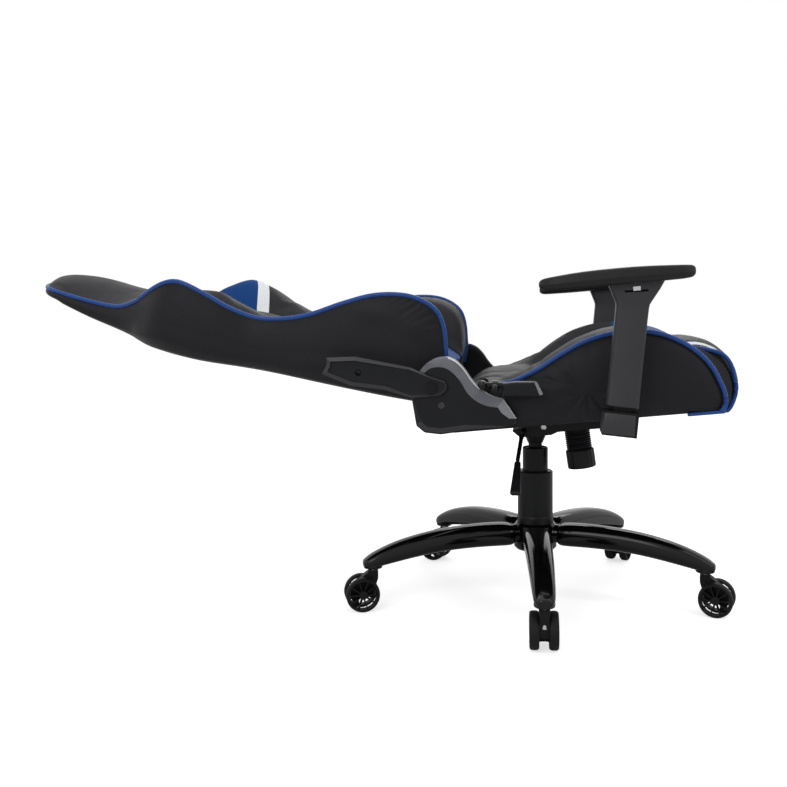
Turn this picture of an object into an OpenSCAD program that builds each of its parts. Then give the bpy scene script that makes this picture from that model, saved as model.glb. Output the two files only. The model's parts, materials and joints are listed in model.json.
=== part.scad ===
// Reclining gaming chair: five-star base on twin-wheel casters, gas column, rocking tilt
// mechanism, bucket seat, height-adjustable armrests and a backrest laid back on its hinges.
// +X points to the front of the seat, +Y to the sitter's left, +Z up. The origin lies on the
// floor under the column.

/* [Base] */
// Distance from the column to each caster stem
stem_radius = 340; // [300:5:380]
// Turn of the base about the column, for the leg that points to the right side
base_turn = 3; // [-20:1:20]
// Height of a leg's underside at its caster
leg_tip_z = 78; // [74:1:86]
// Height of a leg at its caster
leg_tip_h = 24; // [20:1:28]
// Rise of a leg's underside from its caster to the hub
leg_rise = 34; // [20:1:40]
// Height of a leg at the hub
leg_root_h = 42; // [36:1:46]
// Width of a leg at the hub
leg_root_w = 56; // [46:1:60]
// Width of a leg at its caster
leg_tip_w = 40; // [36:1:46]
// Wall of the pressed leg
leg_wall = 2.5; // [2:0.5:4]
// Radius of the hub
hub_r = 47; // [44:1:54]

/* [Casters] */
// Diameter of a caster wheel
wheel_d = 66; // [56:1:68]
// Width of one caster wheel
wheel_w = 16.5; // [14:0.5:20]
// Thickness of the housing between the two wheels
fork_w = 17; // [14:0.5:20]
// Distance from the stem's axis to the wheel's axle
trail = 22; // [16:1:26]
// Number of spokes in a wheel
spokes = 10; // [6:1:14]
// Radius of the caster stem
stem_r = 5.5; // [4.5:0.25:6.5]
// Radius of the caster axle
axle_r = 4; // [3:0.25:5]

/* [Column] */
// Outer radius of the gas column's tube
tube_r = 26; // [24:0.5:27]
// Height of the top of the column's tube
tube_top = 306; // [290:1:312]
// Outer radius of the lift cylinder
cyl_r = 14; // [12:0.5:15]
// Radius of the piston rod
rod_r = 5; // [4:0.25:6]
// Outer radius of the column cover
cover_r = 36; // [33:0.5:40]
// Height of the top of the column cover
cover_top = 258; // [230:1:280]
// Travel of the gas lift
lift_travel = 80; // [60:5:90]

/* [Seat] */
// Height of the seat's underside over the column
seat_z = 378; // [374:1:400]
// Nose-up slope of the seat
seat_tilt = 5.5; // [3:0.5:7]
// Half width of the seat over its side bolsters
seat_half = 264; // [250:1:265]
// Half width of the seat's centre panel
panel_half = 150; // [130:1:170]
// Thickness of the seat board
board_t = 12; // [10:1:18]
// Height that the bolsters stand over the centre panel at their highest
bolster_rise = 46; // [30:1:60]
// Thickness of the steel seat plate
plate_t = 4; // [3:0.5:6]

/* [Tilt mechanism] */
// Distance of the tilt axle in front of the column
tilt_x = 55; // [45:1:65]
// Largest rocking angle
tilt_max = 12; // [6:1:12]
// Half width of the mechanism's housing
mech_half = 58; // [50:1:62]
// Radius of the tilt axle
tilt_r = 6; // [5:0.5:7]
// Distance of the tension knob in front of the column
knob_x = 81; // [77:1:90]
// Radius of the tension knob
knob_r = 28; // [24:0.5:30]
// Height of the tension knob
knob_h = 82; // [70:1:86]
// Slope of the tension knob's axis
knob_tilt = 8; // [4:1:10]

/* [Backrest] */
// Distance of the recline pivot behind the column
pivot_back = 183; // [180:1:190]
// Height of the recline pivot
pivot_z = 451; // [446:1:460]
// Slope of the backrest when it is laid right back
back_slope = 11; // [6:1:14]
// Half width of the backrest over its lower bolsters
back_half = 260; // [246:1:261]
// Half width of the backrest over its shoulder wings
wing_half = 270; // [256:1:280]
// Half width of the head cushion
head_half = 158; // [130:1:175]
// Thickness of the backrest's rear cover
rear_wall = 4; // [3:0.5:6]
// Radius of the recline pin
pin_r = 8; // [6:0.5:10]
// Thickness of a back arm
arm_t = 8; // [5:0.5:9]
// Thickness of a hinge plate
hinge_t = 4; // [3:0.5:5]
// Thickness of a hinge cover
hinge_cover_t = 20; // [14:1:22]

/* [Armrests] */
// Distance from the chair's middle to the centre of an armrest's upright
arm_y = 327; // [322:1:340]
// Distance of the upright's foot in front of the column
arm_x = 150; // [130:5:170]
// Forward lean of the upright
arm_lean = 5.7; // [0:0.1:8]
// Length of the upright from foot to waist
arm_len = 176; // [150:2:190]
// Width of the upright along the chair
arm_w = 55; // [46:1:60]
// Width of the upright across the chair
arm_d = 34; // [30:1:40]
// Length of an arm pad
pad_l = 260; // [220:5:290]
// Width of an arm pad
pad_w = 92; // [70:2:100]
// Thickness of an arm pad
pad_t = 27; // [22:1:34]
// Travel of the armrest
arm_travel = 70; // [50:5:80]

/* [Hidden] */
$fn = 48;
fit = 0.05;          // radial clearance of a running fit
gap = 0.3;           // clearance between pieces that only lie close
black = "#1c1c1e";
gloss = "#101012";
foam = "#2a2a2c";
blue = "#2d5088";
grey = "#7d7f84";
steel = "#8a8c90";

// Directions of the five legs and of the five casters' trailing sides, leg 1 to the right side.
leg_angles = [for (k = [0:4]) -90 + base_turn + 72 * k];
caster_turns = [92, -18, 70, 160, 198];
wheel_r = wheel_d / 2;
wheel_in = fork_w / 2 + gap;
wheel_out = wheel_in + wheel_w;
axle_end = wheel_out - 4;
hub_bottom = leg_tip_z + leg_rise - 14;
hub_top = leg_tip_z + leg_rise + leg_root_h - 2;
tube_bottom = hub_bottom + 4;
rod_foot = tube_bottom - 5;
cyl_bottom = tube_bottom + 16;
seal_h = 10;
piston_z = cyl_bottom + seal_h + lift_travel + 4;
mech_floor = seat_z - 43;
cyl_top = mech_floor + 18;
pivot = [-pivot_back, 0, pivot_z];
tilt_axle_dz = -20;

// ---- helpers ----
function lerp(a, b, t) = a + (b - a) * t;
// Height on a line of points, or a smooth step between them, at x.
function seg(P, x, i = 0) = i >= len(P) - 2 || x < P[i + 1][0] ? i : seg(P, x, i + 1);
function slope(P, i) = i <= 0 ? (P[1][1] - P[0][1]) / (P[1][0] - P[0][0])
    : i >= len(P) - 1 ? (P[i][1] - P[i - 1][1]) / (P[i][0] - P[i - 1][0])
    : (P[i + 1][1] - P[i - 1][1]) / (P[i + 1][0] - P[i - 1][0]);
function curve(P, x) = let (
        i = seg(P, x), a = P[i], b = P[i + 1], h = b[0] - a[0],
        t = min(1, max(0, (x - a[0]) / h)), m = slope(P, i) * h, n = slope(P, i + 1) * h)
    (2 * t ^ 3 - 3 * t ^ 2 + 1) * a[1] + (t ^ 3 - 2 * t ^ 2 + t) * m
    + (3 * t ^ 2 - 2 * t ^ 3) * b[1] + (t ^ 3 - t ^ 2) * n;
function turned(ring) = [for (i = [len(ring) - 1:-1:0]) ring[i]];
// Skin over closed rings with equal numbers of points, with flat ends.
module skin(rings) {
    n = len(rings[0]);
    m = len(rings);
    polyhedron(
        points = [for (r = rings) each r],
        faces = concat(
            [turned([for (i = [0:n - 1]) i])],
            [for (k = [0:m - 2], i = [0:n - 1])
                [k * n + i, k * n + (i + 1) % n, (k + 1) * n + (i + 1) % n]],
            [for (k = [0:m - 2], i = [0:n - 1])
                [k * n + i, (k + 1) * n + (i + 1) % n, (k + 1) * n + i]],
            [[for (i = [0:n - 1]) (m - 1) * n + i]]),
        convexity = 6);
}
module left() mirror([0, 1, 0]) children();
module cyl_y(r, y0, y1) translate([0, y0, 0]) rotate([-90, 0, 0]) cylinder(r = r, h = y1 - y0);
module plate_y(y0, y1) translate([0, y1, 0]) rotate([90, 0, 0]) linear_extrude(y1 - y0) children();
module box(x0, x1, y0, y1, z0, z1) translate([x0, y0, z0]) cube([x1 - x0, y1 - y0, z1 - z0]);
// Places: the sloped seat, the laid-back backrest, an armrest's upright and its pad.
module in_seat() translate([0, 0, seat_z]) rotate([0, -seat_tilt, 0]) children();
module in_back() translate(pivot) rotate([0, back_slope, 0]) children();
arm_foot_z = seat_z + arm_x * tan(seat_tilt) + 32;
module in_arm() translate([arm_x, -arm_y, arm_foot_z]) rotate([0, arm_lean, 0]) children();
pad_slope = arm_lean + seat_tilt - 0.6;
pad_seat = arm_len + 37;
module on_arm_top() translate([0, 0, pad_seat]) rotate([0, -pad_slope, 0]) children();
module in_pad() in_arm() on_arm_top() translate([0, 0, gap]) children();

// ---- base ----
module rounded_bar(w, h, r) {
    for (y = [-w / 2 + r, w / 2 - r]) {
        translate([0, y, h - r]) sphere(r, $fn = 24);
        translate([0, y, r * 0.5]) sphere(r * 0.5, $fn = 16);
    }
}
// Bar's section at x, with its underside at z, drawn in by grow on every side.
module leg_bar(x, z, w, h, r, grow) translate([x, 0, z + grow])
    rounded_bar(w - 2 * grow, h - 2 * grow, r - grow);
module leg_root(grow) leg_bar(hub_r - 6, leg_tip_z + leg_rise, leg_root_w, leg_root_h, 12, grow);
module leg_middle(grow) leg_bar(stem_radius * 0.62, leg_tip_z + leg_rise * 0.72,
    lerp(leg_root_w, leg_tip_w, 0.5), lerp(leg_root_h, leg_tip_h, 0.36), 11, grow);
module leg_end(grow) leg_bar(stem_radius - 4, leg_tip_z, leg_tip_w, leg_tip_h, 10, grow);
module leg_form(grow) {
    hull() {
        leg_root(grow);
        leg_middle(grow);
    }
    hull() {
        leg_middle(grow);
        leg_end(grow);
    }
}
module leg(k) rotate(leg_angles[k - 1]) color(gloss) difference() {
    union() {
        difference() {
            leg_form(0);
            // The pressed leg is open below.
            translate([0, 0, -leg_wall - 3]) leg_form(leg_wall);
        }
        translate([stem_radius, 0, leg_tip_z]) cylinder(r = 15, h = leg_tip_h - 6);
        translate([stem_radius, 0, leg_tip_z + 8]) intersection() {
            sphere(leg_tip_w / 2 + 1);
            translate([0, 0, -8]) cylinder(r = leg_tip_w, h = 40);
        }
    }
    cylinder(r = hub_r - 3, h = 400);
    // Neighbouring legs meet on the planes midway between them.
    for (s = [-1, 1]) rotate(s * 36) translate([-10, s > 0 ? -gap / 2 : gap / 2 - 100, 0])
        cube([100, 100, 400]);
    translate([stem_radius, 0, -1]) cylinder(r = stem_r + fit, h = leg_tip_z + leg_tip_h - 3);
}
module base_hub() color(gloss) difference() {
    rotate_extrude() polygon([
        [0, hub_bottom], [hub_r - 8, hub_bottom], [hub_r - 3.3, hub_bottom + 5],
        [hub_r - 3.3, hub_top - 5], [hub_r - 8, hub_top], [0, hub_top]]);
    translate([0, 0, -1]) cylinder(r = tube_r, h = 400);
}

// ---- casters ----
// The stem's boss starts just above the wheels.
boss_z = wheel_r + sqrt(wheel_r ^ 2 - (trail - 10) ^ 2) + gap;
module at_caster(k) rotate(leg_angles[k - 1]) translate([stem_radius, 0, 0])
    rotate(caster_turns[k - 1] - leg_angles[k - 1]) children();
module caster_housing(k) at_caster(k) color(black) difference() {
    union() {
        plate_y(-fork_w / 2, fork_w / 2) difference() {
            union() {
                translate([trail, wheel_r]) circle(wheel_r * 0.72);
                polygon([[-9, leg_tip_z - 16], [-9, leg_tip_z - 4], [11, leg_tip_z - 4],
                    [trail + 14, wheel_r + 22], [trail, wheel_r], [trail - 22, wheel_r]]);
            }
            translate([trail + 30, -6]) circle(24);
        }
        translate([0, 0, boss_z]) cylinder(r = 10, h = leg_tip_z - 1.5 - boss_z);
    }
    translate([0, 0, -1]) cylinder(r = 30, h = wheel_r * 0.8);
    translate([0, 0, wheel_r + 10]) cylinder(r = stem_r, h = 80);
    translate([trail, 0, wheel_r]) cyl_y(axle_r, -30, 30);
}
module caster_pins(k) at_caster(k) color(steel) {
    translate([0, 0, wheel_r + 10]) cylinder(r = stem_r, h = leg_tip_z + leg_tip_h - 6 - wheel_r - 10);
    translate([trail, 0, wheel_r]) cyl_y(axle_r, -axle_end, axle_end);
}
module wheel() rotate([-90, 0, 0]) difference() {
    union() {
        rotate_extrude() polygon([
            [wheel_r - 5.5, 0], [wheel_r - 2.5, 0], [wheel_r - 0.5, 2.5], [wheel_r, 5],
            [wheel_r, wheel_w - 5], [wheel_r - 0.5, wheel_w - 2.5], [wheel_r - 2.5, wheel_w],
            [wheel_r - 5.5, wheel_w]]);
        cylinder(r = axle_r + 4, h = wheel_w - 1);
        for (a = [0:spokes - 1]) rotate(a * 360 / spokes)
            translate([axle_r + 3, -0.9, 2]) cube([wheel_r - axle_r - 7.5, 1.8, wheel_w - 4]);
    }
    translate([0, 0, -1]) cylinder(r = axle_r + fit, h = axle_end - wheel_in + 1 + gap);
}
module caster_wheels(k) at_caster(k) color(black) translate([trail, 0, wheel_r]) {
    translate([0, wheel_in, 0]) wheel();
    mirror([0, 1, 0]) translate([0, wheel_in, 0]) wheel();
}

// ---- column ----
module column_tube() color(black) difference() {
    rotate_extrude() polygon([
        [0, tube_bottom], [tube_r - 1, tube_bottom], [tube_r, tube_bottom + 2],
        [tube_r, tube_top - 1.5], [tube_r - 1.5, tube_top], [0, tube_top]]);
    translate([0, 0, tube_bottom + 4]) cylinder(r = tube_r - 2.5, h = 400);
    translate([0, 0, tube_bottom - 1]) cylinder(r = rod_r + fit, h = 20);
}
module guide_bush() color(grey) translate([0, 0, tube_top - 40]) difference() {
    cylinder(r = tube_r - 2.5, h = 38);
    translate([0, 0, -1]) cylinder(r = cyl_r + fit, h = 50);
}
module column_cover() color(black) difference() {
    rotate_extrude() polygon([
        [0, hub_top], [cover_r + 1, hub_top], [cover_r + 1, hub_top + 12], [cover_r, hub_top + 15],
        [cover_r, cover_top - 2], [cover_r - 2, cover_top], [0, cover_top]]);
    translate([0, 0, hub_top - 1]) cylinder(r = cover_r - 2.5, h = cover_top - hub_top - 3);
    translate([0, 0, hub_top - 1]) cylinder(r = tube_r, h = 400);
}
module piston_rod() color(steel) rotate_extrude() polygon([
    [0, rod_foot], [8, rod_foot], [8, tube_bottom - gap], [rod_r, tube_bottom - gap],
    [rod_r, tube_bottom + 4 + gap], [11, tube_bottom + 4 + gap], [11, tube_bottom + 11],
    [rod_r, tube_bottom + 11], [rod_r, piston_z], [cyl_r - 2.5 - fit, piston_z],
    [cyl_r - 2.5 - fit, piston_z + 14], [0, piston_z + 14]]);
module lift_cylinder() color(steel) difference() {
    translate([0, 0, cyl_bottom]) cylinder(r = cyl_r, h = cyl_top - cyl_bottom);
    translate([0, 0, cyl_bottom + seal_h])
        cylinder(r = cyl_r - 2.5, h = cyl_top - cyl_bottom - seal_h - 22);
    translate([0, 0, cyl_bottom - 1]) cylinder(r = rod_r + fit, h = 20);
}

// ---- tilt mechanism ----
mech_profile = [
    [-34, -43], [28, -43], [42, -38], [128, -38], [138, -30], [138, -plate_t - 1],
    [tilt_x, -plate_t - 1], [-50, -plate_t - 1 - (tilt_x + 50) * tan(tilt_max)]];
module mech_housing() color(black) difference() {
    union() {
        in_seat() plate_y(-mech_half, mech_half) offset(r = 2, $fn = 16) offset(delta = -2)
            polygon(mech_profile);
        translate([0, 0, tube_top + 9]) rotate_extrude() polygon([
            [0, 0], [15.5, 0], [21, 13], [21, 24], [0, 24]]);
    }
    translate([0, 0, tube_top]) cylinder(r = cyl_r, h = cyl_top - tube_top);
    in_seat() translate([tilt_x, 0, tilt_axle_dz]) cyl_y(tilt_r, -200, 200);
    in_knob() translate([0, 0, -4]) cylinder(r = screw_r + fit, h = 18);
    // Slot in the side wall, in which the height lever rocks.
    translate([lever_points[0][0], -mech_half, seat_z + lever_points[0][2]])
        cube([2 * (lever_r + gap), 28, 2 * (lever_r + 2.5)], center = true);
}
module tilt_axle() color(steel) in_seat() translate([tilt_x, 0, tilt_axle_dz]) {
    cyl_y(tilt_r, -mech_half - 10, mech_half + 10);
    cyl_y(tilt_r + 3, -mech_half - 13, -mech_half - 10);
    cyl_y(tilt_r + 3, mech_half + 10, mech_half + 13);
}
module in_knob() in_seat() translate([knob_x, 0, -39 - gap]) rotate([0, seat_tilt - knob_tilt, 0])
    children();
screw_r = 5;
knob_floor = 8;
module tension_knob() color(black) in_knob() difference() {
    union() {
        translate([0, 0, -knob_h]) cylinder(r = screw_r, h = knob_h + 12);
        translate([0, 0, -9]) cylinder(r = knob_r - 7, h = 6);
        translate([0, 0, -knob_h]) cylinder(r = knob_r - 2, h = knob_h - 6);
        translate([0, 0, -knob_h]) rotate_extrude() polygon([
            [0, 0], [knob_r - 5, 0], [knob_r, 5], [knob_r, knob_h * 0.5],
            [knob_r - 2, knob_h * 0.5 + 2], [0, knob_h * 0.5 + 2]]);
        for (a = [0:15]) rotate(a * 22.5) translate([knob_r - 3, 0, -knob_h * 0.5])
            cylinder(r = 2.2, h = knob_h * 0.5 - 8, $fn = 16);
    }
    translate([0, 0, -knob_h + knob_floor]) rotate_extrude() translate([screw_r, 0])
        square([knob_r - 8 - screw_r, knob_h]);
}
// One turn of the spring's wire after another, as a swept tube.
module tilt_spring() {
    coil_r = knob_r - 12;
    wire = 2.4;
    turns = 4;
    steps = turns * 14;
    low = -knob_h + knob_floor + wire + gap;
    rise = knob_h - knob_floor - 2 * wire - 1.5;
    rings = [for (i = [0:steps]) let (a = i * turns * 360 / steps, z = low + i * rise / steps)
        [for (j = [0:7]) let (b = j * 45, r = coil_r + wire * cos(b))
            [r * cos(a), r * sin(a), z + wire * sin(b)]]];
    color(steel) in_knob() skin([for (r = rings) turned(r)]);
}
lever_r = 4;
lever_points = [[-22, -mech_half - 20, -34], [-26, -130, -36], [-32, -180, -72]];
module rod(p, q, r) let (d = q - p) translate(p)
    rotate([0, acos(d[2] / norm(d)), atan2(d[1], d[0])]) cylinder(r = r, h = norm(d));
module lift_lever_rod() color(black) translate([0, 0, seat_z]) {
    translate(lever_points[0]) cyl_y(lever_r, 0, 32);
    rod(lever_points[0], lever_points[1], lever_r);
    rod(lever_points[1], lever_points[2], lever_r);
    for (k = [0, 1]) translate(lever_points[k]) sphere(lever_r + 0.8);
}
module lift_lever_paddle() color(black) translate([0, 0, seat_z]) hull() {
    translate(lever_points[2] + [0, -3, -6]) rotate([45, 0, 0])
        cylinder(r = 6, h = 2, center = true, $fn = 24);
    for (x = [-8, 2]) translate(lever_points[2] + [x, -50, -52]) sphere(5, $fn = 24);
}

// ---- seat ----
function under(x) = seat_z + x * tan(seat_tilt);
seat_rear = -150;
panel_top = [[-150, 416], [-138, 432], [-128, 446], [-116, 456], [-100, 461], [-40, 465],
    [0, 469], [40, 476], [120, 492], [200, 510], [270, 521], [310, 520], [350, 505], [384, 480]];
panel_nose = [[402, 456], [409, 436], [404, 410], [390, 393]];
nose_from = 300;
edge_top = [[-150, 415], [-138, 427], [-128, 440], [-116, 451], [-100, 457], [-60, 461],
    [-36, 466], [0, 480], [50, 512], [90, 534], [130, 547], [175, 553], [210, 551], [260, 534],
    [300, 505]];
lift = seat_z - 378;
board_half = seat_half - 34;
module seat_board() color(black) in_seat() difference() {
    linear_extrude(board_t) polygon([
        [-145, -board_half], [290, -board_half], [345, -panel_half - 2], [345, panel_half + 2],
        [290, board_half], [-145, board_half]]);
    for (x = [-60, 105], y = [-70, 70]) translate([x, y, -1]) cylinder(r = 4, h = 40);
}
module seat_plate() color(black) in_seat() difference() {
    union() {
        box(-80, 130, -90, 90, -plate_t, 0);
        for (s = [-1, 1]) plate_y(s * (mech_half + 5) - 2.5, s * (mech_half + 5) + 2.5) hull() {
            translate([tilt_x, tilt_axle_dz]) circle(14);
            translate([tilt_x - 40, -plate_t]) square([80, 1]);
        }
    }
    translate([tilt_x, 0, tilt_axle_dz]) cyl_y(tilt_r + fit, -200, 200);
    for (x = [-60, 105], y = [-70, 70]) translate([x, y, -10]) cylinder(r = 4, h = 40);
}
// The centre panel's ring at y: crowned, with its nose drawn back to the sides.
function panel_ring(y) = let (
        u = y / panel_half, back_in = 26 * u * u, drop = 5 * u * u,
        zb = board_t + gap)
    concat(
        [for (p = panel_top) [p[0] - back_in * max(0, p[0] - nose_from) / 90, y, p[1] + lift - drop]],
        [for (p = panel_nose) [p[0] - back_in, y, p[1] + lift]],
        [[355, y, under(355)], [348, y, under(348)],
            [347, y, under(347) + zb], [seat_rear, y, under(seat_rear) + zb]]);
module seat_cushion() color(foam) skin([for (y = [-1:0.25:1])
    turned(panel_ring(y * (panel_half - 0.2)))]);
function board_front(y) = lerp(345, 290,
    min(1, max(0, (y - panel_half - 2) / (board_half - panel_half - 2))));
hump_h = 10;
drawn_rise = 46;
// Height of a bolster's edge, whose points are drawn for drawn_rise.
function raised(z) = z + (bolster_rise / drawn_rise - 1) * max(0, z - edge_top[1][1]);
function bolster_ring(y) = let (
        v = (y - panel_half) / (seat_half - panel_half),
        m = v < 0.35 ? (3 - 2 * v / 0.35) * (v / 0.35) ^ 2 : 1,
        hump = sin(min(1, max(0, v * 1.15)) * 180) * hump_h,
        side = v > 0.93 ? -8 : 0,
        zb = y < board_half + 1 ? board_t + gap : 0,
        xb = board_front(y) + 1)
    concat(
        [for (p = edge_top) [p[0], y, side + lift + hump * min(1, max(0, (p[0] + 40) / 120))
            + lerp(min(curve(panel_top, p[0]), p[1] + 30), raised(p[1]), m)]],
        [[lerp(353, 323, m), y, lerp(486, 469, m) + lift],
            [lerp(372, 336, m), y, lerp(444, 430, m) + lift],
            [lerp(362, 329, m), y, lerp(404, 408, m) + lift]],
        [[xb + 1, y, under(xb + 1)], [xb, y, under(xb) + zb], [seat_rear, y, under(seat_rear) + zb]]);
module seat_bolster() color(foam) left() skin([for (y = [
    panel_half + 0.2, panel_half + 20, panel_half + 45, panel_half + 65, board_half + 0.6,
    board_half + 1.2, seat_half - 20, seat_half - 9, seat_half])
    bolster_ring(y)]);

// ---- recline hinge ----
hinge_in = max(seat_half, back_half + 4) + 3;
cover_in = hinge_in + hinge_t + gap;
cover_out = cover_in + hinge_cover_t;
strip_t = 1.2;
arm_in = cover_out + strip_t + 0.6;
arm_out = arm_in + arm_t;
lever_at = [pivot[0] + 92, 0, pivot[2] + 7];
function from_pivot(P) = [for (p = P) [p[0] + pivot[0] + 183, p[1] + pivot[2] - 451]];
hinge_outline = from_pivot([
    [-220, 433], [-211, 381], [-196, 369], [-167, 366], [-121, 373], [-50, 380], [-34, 386],
    [-31, 397], [-54, 431], [-77, 436], [-101, 453], [-112, 466], [-127, 487], [-140, 499],
    [-155, 505], [-167, 505], [-190, 495], [-205, 478]]);
strip_inner = from_pivot([
    [-58, 417], [-84, 419], [-105, 429], [-118, 441], [-132, 463], [-146, 478], [-160, 486],
    [-173, 487], [-188, 483], [-197, 474]]);
strip_outer = from_pivot([
    [-205, 478], [-190, 495], [-167, 505], [-155, 505], [-140, 499], [-127, 487], [-112, 466],
    [-101, 453], [-77, 436], [-54, 431]]);
flange_rear = -140;
flange_front = -60;
flange_in = 150;
// eye is true on the side of the recline lever, whose pin turns in it.
module hinge_plate(eye) difference() {
    union() {
        plate_y(-hinge_in - hinge_t, -hinge_in) union() {
            offset(delta = -6) polygon(hinge_outline);
            if (eye) {
                translate([lever_at[0], lever_at[2]]) circle(9);
                translate([lever_at[0] - 9, lever_at[2] - 30]) square([18, 30]);
            }
            polygon([[flange_rear, under(flange_rear) - 4], [flange_front, under(flange_front) - 4],
                [flange_front, 396], [flange_rear, 396]]);
        }
        in_seat() box(flange_rear, flange_front, -hinge_in - 1, -flange_in, -4, -gap);
    }
    translate(pivot) cyl_y(pin_r, -400, 0);
    if (eye) translate(lever_at) cyl_y(4 + fit, -400, 0);
}
module hinge_plates() color(steel) {
    hinge_plate(true);
    left() hinge_plate(false);
}
module hinge_cover() color(black) difference() {
    plate_y(-cover_out, -cover_in) polygon(hinge_outline);
    translate(pivot) cyl_y(pin_r + gap, -400, 0);
    // The cover is cut clear of the lever's pin.
    translate(lever_at) cyl_y(4 + 2, -400, 0);
}
module hinge_strip() plate_y(-cover_out - strip_t, -cover_out) polygon(concat(strip_outer, strip_inner));
module hinge_strips() color(grey) {
    hinge_strip();
    left() hinge_strip();
}
module hinge_pin() translate(pivot) {
    cyl_y(pin_r, -arm_out - 1, -hinge_in);
    cyl_y(pin_r + 3, -arm_out - 3.5, -arm_out - gap);
}
module hinge_pins() color(steel) {
    hinge_pin();
    left() hinge_pin();
}
module recline_lever() color(steel) translate(lever_at) {
    cyl_y(4, -cover_out - 12, -hinge_in + 4);
    translate([0, -cover_out - 10, 0]) {
        sphere(6.5);
        rotate([0, 90, 0]) cylinder(r = 4, h = 40);
        translate([18, 0, -2]) rotate([0, 90, 0]) cylinder(r = 9, h = 10);
    }
}
module recline_grip() color(black) translate(lever_at + [0, -cover_out - 10, 0]) difference() {
    plate_y(-11, 11) offset(r = 3, $fn = 16) offset(delta = -3)
        polygon([[34, -20], [100, -20], [106, -14], [100, 6], [60, 6], [34, 3]]);
    rotate([0, 90, 0]) cylinder(r = 4, h = 40);
}

// ---- backrest ----
split_w = 12;
rear_line = [[-12, -28], [40, -33], [300, -35], [380, -37], [450, -38], [525, -34], [572, -32],
    [617, -28], [660, -23], [702, -17], [736, -10], [771, -1], [790, 5], [862, 9]];
front_line = [[-12, 44], [10, 56], [100, 64], [200, 66], [350, 54], [500, 52], [600, 53]];
head_line = [[600, 52], [650, 50], [700, 50], [754, 56], [791, 58], [828, 55], [845, 50], [862, 40]];
pipe_line = [[-12, 56], [0, 100], [16, 130], [45, 147], [85, 152], [140, 141], [195, 115],
    [250, 84], [300, 66], [352, 58], [400, 66], [450, 83], [500, 96], [528, 91], [564, 69],
    [586, 53], [609, 38], [649, 21], [706, 18], [760, 21], [815, 25], [862, 26]];
half_line = [[-12, back_half - 10], [60, back_half], [200, back_half], [352, back_half - 8],
    [430, lerp(back_half, wing_half, 0.5)], [500, wing_half], [545, wing_half - 12], [585, wing_half - 45],
    [600, wing_half - 62], [640, head_half + 24], [700, head_half + 6], [770, head_half - 1],
    [800, head_half - 9], [820, head_half - 24], [840, head_half - 58], [855, head_half - 94],
    [862, head_half - 116]];
function half(s) = curve(half_line, s);
back_stations = [-12, 0, 16, 45, 85, 140, 195, 250, 300, 352, 400, 450, 500, 531, 558, 585, 600];
head_stations = [600.3, 640, 680, 730, 780, 815, 840, 855, 862];
function centre_ring(s) = let (w = curve(front_line, s), h = panel_half - 0.2) concat(
    [for (y = [-1, -0.7, -0.35, 0, 0.35, 0.7, 1]) [-s, y * h, w + 3 * y * y]],
    [[-s, h, split_w + gap], [-s, -h, split_w + gap]]);
module back_cushion() color(foam) in_back() skin([for (s = back_stations) centre_ring(s)]);
function bolster_section(s) = let (
        h = half(s), a = panel_half + 0.2, w0 = curve(front_line, s) + 3, w1 = curve(pipe_line, s),
        rise = s < 330 ? 16 : 8,
        crest = w1 + rise * min(1, max(0, (w1 - 40) / 50)) * min(1, max(0, s / 60)))
    [[-s, a, split_w + gap], [-s, a, w0], [-s, lerp(a, h, 0.28), lerp(w0, crest, 0.6)],
        [-s, lerp(a, h, 0.55), crest], [-s, lerp(a, h, 0.8), crest - 3], [-s, h - 5, w1],
        [-s, h, lerp(split_w, w1, 0.6)], [-s, h - 1, split_w + gap]];
module back_bolster() color(foam) left() in_back()
    skin([for (s = back_stations) turned(bolster_section(s))]);
function head_section(s) = let (
        h = half(s), w = curve(head_line, s), edge = curve(pipe_line, s))
    concat(
        [for (y = [-1, -0.9, -0.6, -0.3, 0, 0.3, 0.6, 0.9, 1])
            [-s, y * h, lerp(edge, max(edge, w), 1 - abs(y) ^ 3)]],
        [[-s, h - 1, split_w + gap], [-s, -h + 1, split_w + gap]]);
module head_cushion() color(foam) in_back() skin([for (s = head_stations) head_section(s)]);
cover_stations = [-12, 0, 60, 165, 250, 352, 450, 500, 545, 585, 600, 640, 700, 770, 815, 840,
    855, 862];
hollow_stations = [-6, 60, 165, 250, 352, 450, 500, 545, 585, 600, 640, 700, 740];
function cover_ring(s, inset) = let (
        h = half(s) - 1 - inset, w = min(split_w - 3, curve(rear_line, s) + inset),
        t = split_w + inset * 4, shoulder = lerp(w, t, 0.27))
    [[-s, -h, t], [-s, h, t], [-s, h, shoulder], [-s, h - 12, w + 2], [-s, h * 0.5, w],
        [-s, -h * 0.5, w], [-s, -h + 12, w + 2], [-s, -h, shoulder]];
bolt_at = [-134, 0, -4];
module back_rear_cover() color(foam) in_back() difference() {
    skin([for (s = cover_stations) turned(cover_ring(s, 0))]);
    skin([for (s = hollow_stations) turned(cover_ring(s, rear_wall))]);
    translate(bolt_at) cyl_y(6, -400, 400);
}
rail_y = back_half - 40;
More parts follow.
